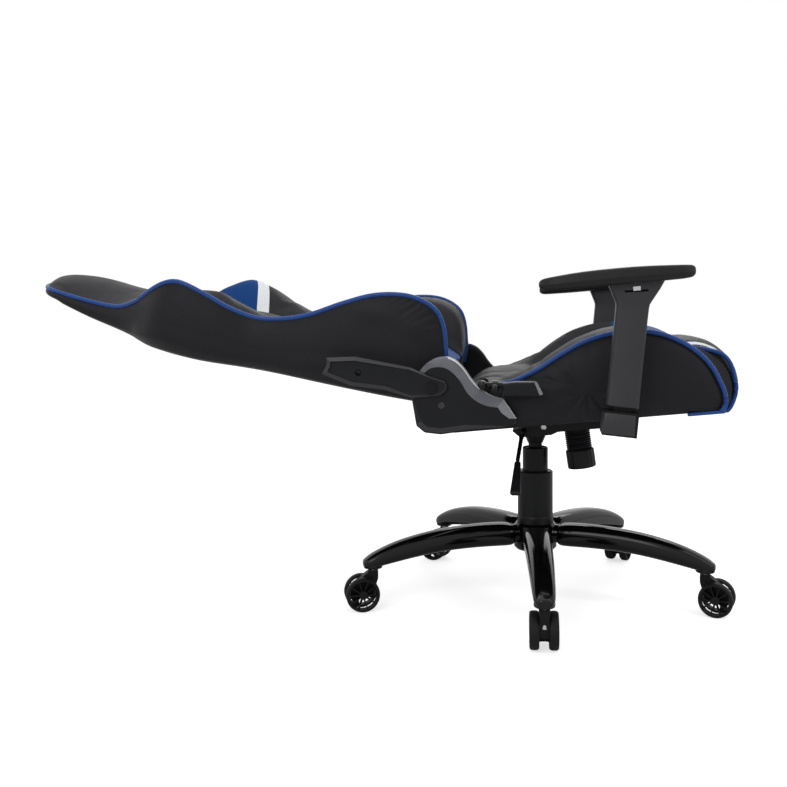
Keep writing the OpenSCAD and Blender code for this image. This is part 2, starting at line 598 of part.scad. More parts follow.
module back_frame() color(steel) in_back() difference() {
    union() {
        for (s = [-1, 1]) {
            box(-560, 2, s * rail_y - 10, s * rail_y + 10, -18, 10);
            box(-698, -540, s * (head_half - 60) - 8, s * (head_half - 60) + 8, -12, 8);
        }
        for (s = [20, 290, 550]) translate([-s, 0, -4]) cyl_y(8, -rail_y, rail_y);
        translate([-690, 0, -2]) cyl_y(8, -head_half + 60, head_half - 60);
    }
    // The rails and cross tubes are hollow.
    for (s = [-1, 1]) {
        box(-570, 10, s * rail_y - 8, s * rail_y + 8, -16, 8);
        box(-704, -536, s * (head_half - 60) - 6, s * (head_half - 60) + 6, -10, 6);
    }
    for (s = [20, 290, 550]) translate([-s, 0, -4]) cyl_y(6.4, -rail_y - 20, rail_y + 20);
    translate([-690, 0, -2]) cyl_y(6.4, -head_half + 62, head_half - 62);
    translate(bolt_at) cyl_y(5, -400, 400);
}
arm_outline = from_pivot([
    [-381, 474], [-372, 491], [-373, 504], [-319, 506], [-219, 487], [-168, 465], [-158, 454],
    [-157, 446], [-164, 438], [-190, 433], [-219, 432], [-265, 446], [-327, 453]]);
module back_arm() color(black) difference() {
    union() {
        plate_y(-arm_out, -arm_in) polygon(arm_outline);
        in_back() translate(bolt_at) {
            cyl_y(9, -arm_in - 1, -back_half - 1);
            cyl_y(5, -back_half - 2, -rail_y + 6);
        }
    }
    plate_y(-arm_out - 1, -arm_out + 1.5) difference() {
        offset(delta = -7) polygon(arm_outline);
        translate([pivot[0], pivot[2]]) circle(pin_r + 9);
    }
    translate(pivot) cyl_y(pin_r + fit, -400, 0);
}

// ---- armrests ----
module arm_bracket() color(black) {
    difference() {
        union() {
            in_arm() box(-arm_w / 2 - 3, arm_w / 2 + 1, -arm_d / 2 - 2, arm_d / 2 + 2, -50, -8);
            in_seat() box(arm_x - 25, arm_x + 25, -arm_y, -110, -5 - gap, -gap);
            in_arm() box(-15, 15, -8, 8, -20, arm_len - 30);
        }
        in_seat() translate([arm_x, -170, -20]) cylinder(r = 4, h = 40);
    }
}
flare_front = 23;
flare_back = 17;
module arm_upright() color(black) in_arm() difference() {
    union() {
        plate_y(-arm_d / 2, arm_d / 2) offset(r = 5, $fn = 24) offset(delta = -5) polygon([
            [-arm_w / 2, 0], [arm_w / 2, 0], [arm_w / 2, arm_len],
            [arm_w / 2 + flare_front, pad_seat + (arm_w / 2 + flare_front) * tan(pad_slope)],
            [-arm_w / 2 - flare_back, pad_seat - (arm_w / 2 + flare_back) * tan(pad_slope)],
            [-arm_w / 2, arm_len - 4]]);
        on_arm_top() translate([0, 0, -8]) cylinder(r = 9, h = 18);
    }
    box(-15.5, 15.5, -8.5, 8.5, -1, arm_len - 12);
    at_button() cube([13, 6, 7.6]);
}
module at_button() on_arm_top() translate([-5, -arm_d / 2 - 1, -14]) children();
module arm_button() color(steel) in_arm() at_button()
    translate([gap, -0.5, gap]) cube([13 - 2 * gap, 4, 7.6 - 2 * gap]);
module arm_pad() color(black) in_pad() difference() {
    hull() for (s = [-1, 1]) {
        translate([-pad_l / 2 + 8, s * (pad_w / 2 - 26), 9]) sphere(8, $fn = 20);
        translate([-pad_l / 2 + 50, s * (pad_w / 2 - 10), pad_t - 12]) sphere(10, $fn = 20);
        translate([pad_l / 2 - 11, s * (pad_w / 2 - 26), pad_t - 11]) sphere(11, $fn = 20);
        translate([pad_l / 2 - 40, s * (pad_w / 2 - 10), pad_t - 10]) sphere(10, $fn = 20);
        translate([pad_l / 2 - 24, s * (pad_w / 2 - 20), 6]) sphere(6, $fn = 20);
        translate([-pad_l / 2 + 30, s * (pad_w / 2 - 20), 6]) sphere(6, $fn = 20);
    }
    translate([0, 0, -1 - gap]) cylinder(r = 9 + fit, h = 12);
}

base_hub();
leg(1);  // base_leg_1
leg(2);  // base_leg_2
leg(3);  // base_leg_3
leg(4);  // base_leg_4
leg(5);  // base_leg_5
caster_housing(1);  // caster_1_housing
caster_housing(2);  // caster_2_housing
caster_housing(3);  // caster_3_housing
caster_housing(4);  // caster_4_housing
caster_housing(5);  // caster_5_housing
caster_pins(1);  // caster_1_pins
caster_pins(2);  // caster_2_pins
caster_pins(3);  // caster_3_pins
caster_pins(4);  // caster_4_pins
caster_pins(5);  // caster_5_pins
caster_wheels(1);  // caster_1_wheels
caster_wheels(2);  // caster_2_wheels
caster_wheels(3);  // caster_3_wheels
caster_wheels(4);  // caster_4_wheels
caster_wheels(5);  // caster_5_wheels
column_tube();
guide_bush();
column_cover();
piston_rod();
lift_cylinder();
mech_housing();
tilt_axle();
tilt_spring();
tension_knob();
lift_lever_rod();
lift_lever_paddle();
seat_plate();
seat_board();
seat_cushion();
seat_bolster();  // seat_bolster_right
left() seat_bolster();  // seat_bolster_left
hinge_plates();
hinge_cover();  // hinge_cover_right
left() hinge_cover();  // hinge_cover_left
hinge_strips();
hinge_pins();
recline_lever();
recline_grip();
back_frame();
back_rear_cover();
back_cushion();
head_cushion();
back_bolster();  // back_bolster_right
left() back_bolster();  // back_bolster_left
back_arm();  // back_arm_right
left() back_arm();  // back_arm_left
arm_bracket();  // arm_bracket_right
left() arm_bracket();  // arm_bracket_left
arm_upright();  // arm_upright_right
left() arm_upright();  // arm_upright_left
arm_button();  // arm_button_right
left() arm_button();  // arm_button_left
arm_pad();  // arm_pad_right
left() arm_pad();  // arm_pad_left
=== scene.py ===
"""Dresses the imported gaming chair: piped upholstery, painted and moulded parts, and a plain studio."""
import json
import math

import bmesh
import bpy
import numpy as np
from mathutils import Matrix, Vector


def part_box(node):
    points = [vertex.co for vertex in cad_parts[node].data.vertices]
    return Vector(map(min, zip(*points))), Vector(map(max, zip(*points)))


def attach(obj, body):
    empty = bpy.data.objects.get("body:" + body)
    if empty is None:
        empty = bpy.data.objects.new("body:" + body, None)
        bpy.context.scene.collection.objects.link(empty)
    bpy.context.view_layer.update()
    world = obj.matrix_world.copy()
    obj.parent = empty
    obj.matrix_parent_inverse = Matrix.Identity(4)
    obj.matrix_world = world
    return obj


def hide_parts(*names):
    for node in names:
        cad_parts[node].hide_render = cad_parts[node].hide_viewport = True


bl_info = {
    "name": "Gaming Chair",
    "version": (1, 0, 0),
    "blender": (4, 5, 0),
    "location": "3D View > Sidebar > Chair",
    "description": "Upholstery, trim and finishes of a reclining gaming chair",
    "category": "Object",
}

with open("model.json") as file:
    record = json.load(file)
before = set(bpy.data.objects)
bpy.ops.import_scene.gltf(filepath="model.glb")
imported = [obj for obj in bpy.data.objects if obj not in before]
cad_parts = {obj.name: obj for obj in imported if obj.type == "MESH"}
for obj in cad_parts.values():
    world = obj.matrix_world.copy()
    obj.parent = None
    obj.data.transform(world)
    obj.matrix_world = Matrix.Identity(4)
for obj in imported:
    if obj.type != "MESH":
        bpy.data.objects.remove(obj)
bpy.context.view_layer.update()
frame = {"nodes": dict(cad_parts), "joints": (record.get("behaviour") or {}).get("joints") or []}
NODES = frame["nodes"]
JOINTS = {j["name"]: j for j in frame["joints"]}
MM = 0.001


# ---- places, in millimetres ----
def pivot_of(joint):
    return np.array(JOINTS[joint]["pos_m"]) / MM


RECLINE = pivot_of("back_recline")
BACK_SLOPE = math.radians(11)
SEAT_SLOPE = math.radians(5.5)
ARM_LEAN = math.radians(5.7)
SEAT_UNDER = 378.0
# An upright's place: its foot along the seat, its middle from the chair's middle, its foot above the seat's
# underside, and half its thickness.
ARM_PLACE, ARM_APART, ARM_RISE, POST_HALF = 150.0, 327.0, 32.0, 18.0


def on_back(s, y, w):
    """Points s along, y across and w in front of the laid-back backrest's middle plane."""
    s, y, w = np.broadcast_arrays(s, y, w)
    sin, cos = math.sin(BACK_SLOPE), math.cos(BACK_SLOPE)
    return np.stack([RECLINE[0] - s * cos + w * sin, y, RECLINE[2] + s * sin + w * cos], -1)


def under_seat(x):
    return SEAT_UNDER + np.asarray(x) * math.tan(SEAT_SLOPE)


# ---- curves and surfaces ----
def cubic(t, start, end, leave, arrive):
    """Cubic from start to end for t from 0 to 1, with the slopes leave and arrive at its ends."""
    return ((2 * t ** 3 - 3 * t ** 2 + 1) * start + (t ** 3 - 2 * t ** 2 + t) * leave
            + (3 * t ** 2 - 2 * t ** 3) * end + (t ** 3 - t ** 2) * arrive)


def line(points, x):
    """Height at x on a smooth line: cubic pieces whose slope at a point is that of its neighbours' chord."""
    p = np.array(points, float)
    x = np.clip(np.asarray(x, float), p[0, 0], p[-1, 0])
    i = np.clip(np.searchsorted(p[:, 0], x, side="right") - 1, 0, len(p) - 2)
    m = np.concatenate([
        [(p[1, 1] - p[0, 1]) / (p[1, 0] - p[0, 0])],
        (p[2:, 1] - p[:-2, 1]) / (p[2:, 0] - p[:-2, 0]),
        [(p[-1, 1] - p[-2, 1]) / (p[-1, 0] - p[-2, 0])]])
    h = p[i + 1, 0] - p[i, 0]
    return cubic((x - p[i, 0]) / h, p[i, 1], p[i + 1, 1], m[i] * h, m[i + 1] * h)


def through(controls, step, sharp=(), closed=True):
    """Smooth rings through rows of control points, with a point every step along each side.

    A side is a cubic whose end slopes are the neighbouring chords weighted by their lengths, and its own
    chord at a sharp corner. controls is rows by corners by coordinates, and step may be one for each side.
    """
    controls = np.asarray(controls, float)
    count = controls.shape[1]
    chord = np.roll(controls, -1, 1) - controls
    length = np.maximum(np.linalg.norm(chord, axis=2, keepdims=True), 1e-6)
    pace = chord / length
    before, span = np.roll(pace, 1, 1), np.roll(length, 1, 1)
    slope = (pace * span + before * length) / (length + span)
    corner = np.zeros(count, bool)
    corner[list(sharp)] = True
    if not closed:
        corner[[0, -1]] = True
    leave = np.where(corner[None, :, None], pace, slope)
    arrive = np.where(np.roll(corner, -1)[None, :, None], pace, np.roll(slope, -1, 1))
    sides = count if closed else count - 1
    out = []
    for k in range(sides):
        n = max(1, round(float(length[:, k].mean()) / np.broadcast_to(step, sides)[k]))
        t = np.arange(n)[None, :, None] / n
        a, b = controls[:, k, None], controls[:, (k + 1) % count, None]
        span = length[:, k, None]
        out.append(cubic(t, a, b, leave[:, k, None] * span, arrive[:, k, None] * span))
    if not closed:
        out.append(controls[:, -1:])
    return np.concatenate(out, 1)


def curve(points, step):
    """Points about every step along a smooth open curve through the given ones."""
    return through(np.asarray(points, float)[None], step, closed=False)[0]


def rounded(outline, radius, count=5):
    """Closed outline with each corner replaced by a parabola that starts radius away from it."""
    p = np.asarray(outline, float)
    a, b = np.roll(p, 1, 0) - p, np.roll(p, -1, 0) - p
    la, lb = np.linalg.norm(a, axis=1, keepdims=True), np.linalg.norm(b, axis=1, keepdims=True)
    start = p + a / la * np.minimum(radius, 0.48 * la)
    end = p + b / lb * np.minimum(radius, 0.48 * lb)
    t = np.linspace(0, 1, count)[None, :, None]
    bend = (1 - t) ** 2 * start[:, None] + 2 * t * (1 - t) * p[:, None] + t ** 2 * end[:, None]
    return bend.reshape(-1, 2)


def inset(outline, d):
    """Closed outline moved inwards by d, each corner along the bisector of its sides."""
    p = np.asarray(outline, float)
    a = p - np.roll(p, 1, 0)
    b = np.roll(p, -1, 0) - p
    turn = np.sign(np.sum(p[:, 0] * np.roll(p[:, 1], -1) - np.roll(p[:, 0], -1) * p[:, 1]))
    na = np.stack([-a[:, 1], a[:, 0]], 1) / np.linalg.norm(a, axis=1, keepdims=True)
    nb = np.stack([-b[:, 1], b[:, 0]], 1) / np.linalg.norm(b, axis=1, keepdims=True)
    bend = np.maximum(1 + np.sum(na * nb, 1, keepdims=True), 0.5)
    return p + turn * d * (na + nb) / bend


def shut(rings, dome, steps=6):
    """Rings closed at both ends: each end ring shrinks by r onto its middle and moves out by dome times
    √(1 − r²)."""
    r = np.linspace(1, 0, steps + 1)[1:, None, None]
    caps = []
    for end, inner in ((0, 1), (-1, -2)):
        ring, middle = rings[end], rings[end].mean(0)
        outward = middle - rings[inner].mean(0)
        outward /= np.linalg.norm(outward)
        caps.append(middle + (ring - middle) * r + outward * dome * np.sqrt(1 - r ** 2))
    return np.concatenate([caps[0][::-1], rings, caps[1]])


def stations(low, high, step, *exact):
    """Evenly spaced places with the exact ones among them."""
    even = np.linspace(low, high, max(2, round((high - low) / step) + 1))
    exact = np.array(exact, float)
    if len(exact):
        near = np.abs(even[:, None] - exact[None]).min(1) < step * 0.55
        near[[0, -1]] = False
        even = np.concatenate([even[~near], exact])
    return np.sort(even)


def grid_faces(rows, cols):
    """Quads of rows by cols points, with each row closed on itself."""
    low = np.arange(rows - 1)[:, None] * cols
    c = np.arange(cols)[None, :]
    turned = (c + 1) % cols
    return np.stack([low + c, low + turned, low + cols + turned, low + cols + c], -1).reshape(-1, 4)


def capped_faces(rows, cols):
    """The same quads, with one face over the first row and one over the last."""
    return grid_faces(rows, cols).tolist() + [list(range(cols)), list(range((rows - 1) * cols, rows * cols))]


def linked(name, data):
    """New object in the scene."""
    made = bpy.data.objects.new(name, data)
    bpy.context.scene.collection.objects.link(made)
    return made


def subdivided(made):
    """The same object, rounded off by one level of subdivision."""
    smooth = made.modifiers.new("Smooth", "SUBSURF")
    smooth.levels = smooth.render_levels = 1
    return made


def reach_of(node):
    """Inner and outer distance of a node from the chair's middle plane, in millimetres."""
    return sorted(abs(corner[1]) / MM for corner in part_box(node))


def padded_rings(values, steps, edge):
    """Numbers for a shut pad's points: edge on the rings that close its ends, and values between them."""
    return np.pad(values, ((steps, steps), (0, 0)), constant_values=edge)


def piece(name, points, faces, body, finishes, slot, smooth=None, zones=None, marks=None, replaces=()):
    """One object from points in millimetres. It has its doubles merged and its faces turned outwards, and it
    rides on a body. finishes are names with spaces between them, zones is the number of one for each face,
    marks are numbers for each point, and smooth is the angle in degrees above which an edge stays sharp."""
    points = np.asarray(points, float).reshape(-1, 3)
    mesh = bpy.data.meshes.new(name)
    mesh.from_pydata((points * MM).tolist(), [], faces.tolist() if isinstance(faces, np.ndarray) else faces)
    for key in finishes.split():
        mesh.materials.append(FINISH[key])
    if zones is not None:
        mesh.polygons.foreach_set("material_index", np.asarray(zones, np.int32).ravel())
    for key, values in (marks or {}).items():
        mesh.attributes.new(key, "FLOAT", "POINT").data.foreach_set(
            "value", np.asarray(values, np.float32).ravel())
    work = bmesh.new()
    work.from_mesh(mesh)
    bmesh.ops.remove_doubles(work, verts=work.verts, dist=2e-5)
    bmesh.ops.recalc_face_normals(work, faces=work.faces)
    work.to_mesh(mesh)
    work.free()
    mesh.polygons.foreach_set("use_smooth", np.ones(len(mesh.polygons), bool))
    if smooth is not None:
        mesh.set_sharp_from_angle(angle=math.radians(smooth))
    made = linked(name, mesh)
    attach(made, body)
    if replaces:
        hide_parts(*replaces)
    return made


def shell(name, rings, body, finishes, slot, **more):
    """Closed surface over rings of points."""
    rows, cols = rings.shape[:2]
    return piece(name, rings, grid_faces(rows, cols), body, finishes, slot, **more)


def tray(name, outline, radius, levels, side, body, finishes, slot, smooth=30, bands=None, **more):
    """Plate with a stepped or rounded edge. outline is (x, z), and its corners are rounded by radius after
    each inset. levels are pairs of inset and distance from the chair's middle, from the back face to the
    front face, for all corners or for each one, and side is -1 on the sitter's right. bands gives a finish
    number to each step."""
    rings = []
    for d, y in levels:
        flat = rounded(inset(outline, d), radius)
        y = np.repeat(np.broadcast_to(np.ravel(y), len(outline)), len(flat) // len(outline))
        rings.append(np.stack([flat[:, 0], side * y, flat[:, 1]], 1))
    rings = np.array(rings)
    rows, cols = rings.shape[:2]
    if bands is not None:
        bands = np.broadcast_to(np.asarray(bands).reshape(rows - 1, -1), (rows - 1, len(outline)))
        bands = np.repeat(bands, cols // len(outline), axis=1).ravel().tolist() + [0, 0]
    return piece(name, rings, capped_faces(rows, cols), body, finishes, slot, smooth=smooth, zones=bands,
                 **more)


def tube_rings(path, radius, count=12, up=(0, 0, 1), flat=1.0):
    """Rings of a tube along a path: a circle across the path's direction, flattened along its normal."""
    path = np.asarray(path, float)
    way = np.gradient(path, axis=0)
    way /= np.linalg.norm(way, axis=1, keepdims=True)
    side = np.cross(way, np.asarray(up, float))
    weak = np.linalg.norm(side, axis=1) < 0.15
    side[weak] = np.cross(way[weak], (0, 1, 0))
    side /= np.linalg.norm(side, axis=1, keepdims=True)
    rise = np.cross(side, way)
    a = np.linspace(0, 2 * np.pi, count, endpoint=False)
    radius = np.broadcast_to(radius, len(path))[:, None, None]
    return path[:, None] + radius * (np.cos(a)[None, :, None] * side[:, None]
                                     + flat * np.sin(a)[None, :, None] * rise[:, None])


def lathe(profile, centre, axis, count=32):
    """Rings of a turned form: profile is (radius, distance along the axis from the centre)."""
    axis = np.asarray(axis, float) / np.linalg.norm(axis)
    side = np.cross(axis, (0, 1, 0) if abs(axis[1]) < 0.9 else (1, 0, 0))
    side /= np.linalg.norm(side)
    a = np.linspace(0, 2 * np.pi, count, endpoint=False)
    p = np.asarray(profile, float)
    circle = np.cos(a)[:, None] * side + np.sin(a)[:, None] * np.cross(axis, side)
    return np.asarray(centre, float) + p[:, :1, None] * circle + p[:, 1:, None] * axis


def merged(grids):
    """Points and faces of several grids of rings as one."""
    points, faces, start = [], [], 0
    for rings in grids:
        points.append(rings.reshape(-1, 3))
        faces.append(grid_faces(*rings.shape[:2]) + start)
        start += len(points[-1])
    return np.concatenate(points), np.concatenate(faces)


def vectors(mesh, items, key):
    """One vector for each point of the mesh, read from a list of its items."""
    values = np.empty(len(mesh.vertices) * 3)
    items.foreach_get(key, values)
    return values.reshape(-1, 3)


def coords(mesh):
    return vectors(mesh, mesh.vertices, "co")


def mark(mesh, name):
    values = np.empty(len(mesh.vertices), np.float32)
    mesh.attributes[name].data.foreach_get("value", values)
    return values


PRESSURE = 4.0
STUFFING_FRAMES = 20


def swell(pad, cap):
    """Stuffs a closed cover: cloth under pressure, held where it is sewn, with no gravity.

    The move of a point is limited to cap millimetres. Then the sewn seams are drawn in.
    """
    mesh, scene = pad.data, bpy.context.scene
    start = coords(mesh)
    sewn = pad.vertex_groups.new(name="sewn")
    sewn.add(np.flatnonzero(mark(mesh, "sewn") > 0.5).tolist(), 1.0, "REPLACE")
    cloth = pad.modifiers.new("Cloth", "CLOTH")
    # A negative shrinkage is a cover cut slightly larger than the foam.
    for key, value in (("quality", 6), ("mass", 0.3), ("tension_stiffness", 12),
                       ("compression_stiffness", 12), ("shear_stiffness", 6), ("bending_stiffness", 0.8),
                       ("shrink_min", -0.012), ("use_pressure", True),
                       ("uniform_pressure_force", PRESSURE), ("vertex_group_mass", "sewn")):
        setattr(cloth.settings, key, value)
    cloth.settings.effector_weights.gravity = 0
    cloth.point_cache.frame_start = 1
    cloth.point_cache.frame_end = STUFFING_FRAMES
    for f in range(1, STUFFING_FRAMES + 1):
        scene.frame_set(f)
    evaluated = pad.evaluated_get(bpy.context.evaluated_depsgraph_get())
    move = coords(evaluated.data) - start
    pad.modifiers.remove(cloth)
    pad.vertex_groups.remove(sewn)
    far = np.maximum(np.linalg.norm(move, axis=1, keepdims=True), 1e-9)
    limit = cap * MM
    move *= limit * np.tanh(far / limit) / far
    mesh.vertices.foreach_set("co", (start + move).ravel())
    scene.frame_set(1)
    mesh.update()
    if "seam" in mesh.attributes:
        outward = vectors(mesh, mesh.vertex_normals, "vector")
        co = coords(mesh) - outward * mark(mesh, "seam")[:, None] * MM
        mesh.vertices.foreach_set("co", co.ravel())
    mesh.update()
    return subdivided(pad)


# ---- finishes ----
def linear(hex_colour):
    """Linear RGBA of an sRGB hex colour."""
    code = hex_colour.lstrip("#")
    srgb = [int(code[i:i + 2], 16) / 255 for i in (0, 2, 4)]
    return [c / 12.92 if c <= 0.04045 else ((c + 0.055) / 1.055) ** 2.4 for c in srgb] + [1.0]


def add(tree, kind, inputs=None, **settings):
    """Adds a node. settings are its properties, and inputs its sockets by name or number: value or link."""
    made = tree.nodes.new(kind)
    for key, value in settings.items():
        setattr(made, key, value)
    for key, value in (inputs or {}).items():
        if isinstance(value, bpy.types.NodeSocket):
            tree.links.new(value, made.inputs[key])
        else:
            made.inputs[key].default_value = value
    return made


def finish(name, colour, rough, grain_mm, relief_mm, tone=0.12, metal=0.0, specular=0.5, coat=0.0,
           cells=False, mottle_mm=60.0):
    """Finish with a grain: cell or noise pattern of grain_mm as relief and as painted shade that darkens its
    hollows, and slow drift of tone and gloss.
    """
    made = bpy.data.materials.new(name)
    made.use_nodes = True
    tree = made.node_tree
    shader = tree.nodes["Principled BSDF"]
    place = add(tree, "ShaderNodeTexCoord").outputs["Object"]
    fine = 1.0 / (grain_mm * MM)
    if cells:
        warp = add(tree, "ShaderNodeTexNoise", {"Vector": place, "Scale": fine * 0.4, "Detail": 2.0})
        moved = add(tree, "ShaderNodeVectorMath", {0: warp.outputs["Color"], 1: (0.8 / fine,) * 3},
                    operation="MULTIPLY")
        spot = add(tree, "ShaderNodeVectorMath", {0: place, 1: moved.outputs[0]}, operation="ADD")
        grain = add(tree, "ShaderNodeTexVoronoi", {"Vector": spot.outputs[0], "Scale": fine},
                    feature="SMOOTH_F1")
        height = grain.outputs["Distance"]
    else:
        grain = add(tree, "ShaderNodeTexNoise", {"Vector": place, "Scale": fine, "Detail": 3.0})
        height = grain.outputs["Fac"]
    slow = add(tree, "ShaderNodeTexNoise",
               {"Vector": place, "Scale": 1.0 / (mottle_mm * MM), "Detail": 4.0, "Roughness": 0.6})
    base = np.array(linear(colour))
    low, high = base * (1 - tone), np.minimum(base * (1 + tone), 1)
    low[3] = high[3] = 1
    mix = add(tree, "ShaderNodeMix", {0: slow.outputs["Fac"], 6: low.tolist(), 7: high.tolist()},
              data_type="RGBA")
    # Painted shade: the colour darkens to 0.82 where the grain is low, in its hollows.
    deep = add(tree, "ShaderNodeMapRange", {0: height, 1: 0.0, 2: 0.6, 3: 0.82, 4: 1.0})
    shade = add(tree, "ShaderNodeMix", {0: 1.0, 6: mix.outputs[2], 7: deep.outputs[0]},
                data_type="RGBA", blend_type="MULTIPLY")
    tree.links.new(shade.outputs[2], shader.inputs["Base Color"])
    gloss = add(tree, "ShaderNodeMapRange", {0: slow.outputs["Fac"], 1: 0.3, 2: 0.7,
                                             3: max(rough - 0.05, 0.02), 4: min(rough + 0.05, 1)})
    tree.links.new(gloss.outputs[0], shader.inputs["Roughness"])
    bump = add(tree, "ShaderNodeBump", {"Height": height, "Distance": relief_mm * MM, "Strength": 0.6})
    tree.links.new(bump.outputs[0], shader.inputs["Normal"])
    shader.inputs["Metallic"].default_value = metal
    if not metal:
        shader.inputs["Specular IOR Level"].default_value = specular
    shader.inputs["Coat Weight"].default_value = coat
    shader.inputs["Coat Roughness"].default_value = 0.06
    return made


FINISH = {}


def make_finishes():
    """The chair's finishes by plain name."""
    c = bpy.context.scene.chair_colours
    FINISH.update(
        # PU-coated upholstery leather, embossed: a soft sheen on a shallow cell grain. The blue is duller.
        leather=finish("pu_leather_black", c.cover, 0.5, 2.6, 0.2, specular=0.12, cells=True),
        leather_blue=finish("pu_leather_blue", c.panel, 0.5, 2.6, 0.18, specular=0.06, cells=True),
        leather_white=finish("pu_leather_white", c.stripe, 0.5, 2.6, 0.2, tone=0.03, cells=True),
        # The same coated cloth turned over a cord, so it is smoother and pulls into small folds.
        piping=finish("pu_piping_blue", c.piping, 0.36, 5.0, 0.35, tone=0.1, specular=0.2),
        # Glass-filled nylon, moulded in a spark-eroded tool: matt with a fine grit.
        nylon=finish("glass_filled_nylon", "#101011", 0.5, 1.6, 0.08, specular=0.14),
        # Polypropylene, moulded: satin with faint drag marks.
        moulded=finish("moulded_polypropylene", c.plastic, 0.38, 1.8, 0.05, specular=0.14),
        # The same with a coarser texture, which scatters more light. Its paler colour also stands as painted
        # light on the hinge covers' lower bevels and the back arms' rims.
        textured=finish("textured_polypropylene", c.upright, 0.46, 1.6, 0.08, specular=0.3),
        # Cast polyurethane tread: slightly paler and rubbery.
        tread=finish("polyurethane_tread", "#161617", 0.55, 2.0, 0.08, specular=0.14),
        # Gloss enamel baked on pressed steel: mirror coat with a slight orange peel.
        enamel=finish("baked_gloss_enamel", c.base, 0.12, 7.0, 0.02, specular=0.2, coat=0.08),
        # Satin powder coat: a fine even texture.
        powder=finish("satin_powder_coat", "#0d0d0e", 0.34, 1.5, 0.06, specular=0.14),
        # Silver-grey lacquer over ABS: its tone drifts at random along the piece, in patches about 26 mm
        # across, as painted light and shade for the changing sheen along the curved strip.
        lacquer=finish("grey_lacquered_abs", c.trim, 0.32, 1.2, 0.05, tone=0.42, specular=0.3, mottle_mm=26),
        # The same painted paler, as painted light on a facet that faces the light.
        lacquer_pale=finish("grey_lacquered_abs_painted_lit_facet", "#77797d", 0.32, 1.2, 0.05, tone=0.2, specular=0.3,
                            mottle_mm=14),
        # The same painted nearly white on the bevel: a painted highlight, a thin bright line.
        lacquer_edge=finish("painted_highlight_lacquer_bevel", "#c9cbce", 0.25, 1.2, 0.03, tone=0.05),
        # Near-black painted shade for a bolt's socket and a slot, hollows that take no light.
        pitch=finish("painted_shade_black", "#030303", 0.7, 1.0, 0.05, specular=0.05),
        # Zinc-plated steel: bright metal with a slight cloudiness.
        zinc=finish("zinc_plated_steel", "#b9bbbe", 0.26, 3.0, 0.03, metal=1.0),
        # Integral-skin polyurethane foam: a dry closed skin.
        skin_foam=finish("integral_skin_foam", "#1c1c1d", 0.5, 2.2, 0.1, specular=0.16, cells=True),
        # Nonwoven dust cloth under the seat: fibrous and dull.
        dust_cloth=finish("nonwoven_dust_cloth", "#0e0e0f", 0.8, 3.0, 0.2, specular=0.1))


def repaint(node, name):
    """Gives a CAD node a finish in place of its plain one."""
    mesh = NODES[node].data
    mesh.materials.clear()
    mesh.materials.append(FINISH[name])


# ---- settings ----
def colour_setting(name, description, value):
    return bpy.props.StringProperty(name=name, description=description, default=value)


class ChairColours(bpy.types.PropertyGroup):
    """Colours of the chair as sRGB hex values."""
    cover: colour_setting("Cover", "Colour of the upholstery", "#1c1c1f")
    panel: colour_setting("Panels", "Colour of the wings' inner panels", "#0e3a74")
    stripe: colour_setting("Stripes", "Colour of the inserted stripes", "#d6d9da")
    piping: colour_setting("Piping", "Colour of the piping", "#1d4080")
    plastic: colour_setting("Plastic", "Colour of the moulded parts", "#151618")
    upright: colour_setting("Uprights", "Colour of the armrest uprights", "#2a2a2d")
    trim: colour_setting("Trim", "Colour of the hinge trim", "#5e6066")
    base: colour_setting("Base", "Colour of the enamelled base", "#080809")


def length_setting(name, description, mm):
    return bpy.props.FloatProperty(name=name, description=description, default=mm * MM, unit="LENGTH")


class ChairSewing(bpy.types.PropertyGroup):
    """Sizes of the sewn work."""
    piping: length_setting("Piping", "Thickness of the piping", 8.4)
    stripe: length_setting("Stripe", "Width of the inserted stripes", 29)
    seam: length_setting("Seam", "Depth to which a seam is drawn in", 1.6)
    swell_seat: length_setting("Seat swell", "How far the stuffed seat may swell", 24)
    swell_bolster: length_setting("Bolster swell", "How far a stuffed bolster may swell", 8)


class ChairStudio(bpy.types.PropertyGroup):
    """Camera."""
    lens: bpy.props.FloatProperty(name="Lens", description="Focal length of the camera in mm", default=44.83)
    camera_place: bpy.props.FloatVectorProperty(
        name="Camera place", description="Where the camera stands", subtype="TRANSLATION", unit="LENGTH",
        default=(0.012, -2.03, 0.600))
    camera_turn: bpy.props.FloatProperty(
        name="Camera turn", description="Turn of the camera to its left", subtype="ANGLE",
        default=math.radians(5.83))
    shift: bpy.props.FloatVectorProperty(
        name="Shift", description="Sideways and upward shift of the lens", size=2, default=(-0.0604, -0.1137))


# ---- upholstery: outlines, in millimetres ----
# Half the width of the centre panels, how far in front of the middle plane the backrest's cushions start, and
# how far up it the head cushion does.
HALF_PANEL, SPLIT, HEAD_FOOT = 150.0, 13.0, 600.0
# What lies further forward than this is a cushion's front face.
FRONT_FACE = SPLIT + 12
# Seams of the seat's panel: two along it, one across it and one at its rear. Its stripes lie between two
# distances from its middle.
SEAT_LONG, SEAT_CROSS, SEAT_REAR, SEAT_STRIPE = 75, 262, -10, (129, 143)
# Where the blue part of a seat bolster starts and ends.
BOLSTER_BLUE = (168, 285)
# Seams across the backrest's panel, and the two along it.
CHANNELS, BACK_LONG = (95, 190, 285, 380, 475), 118
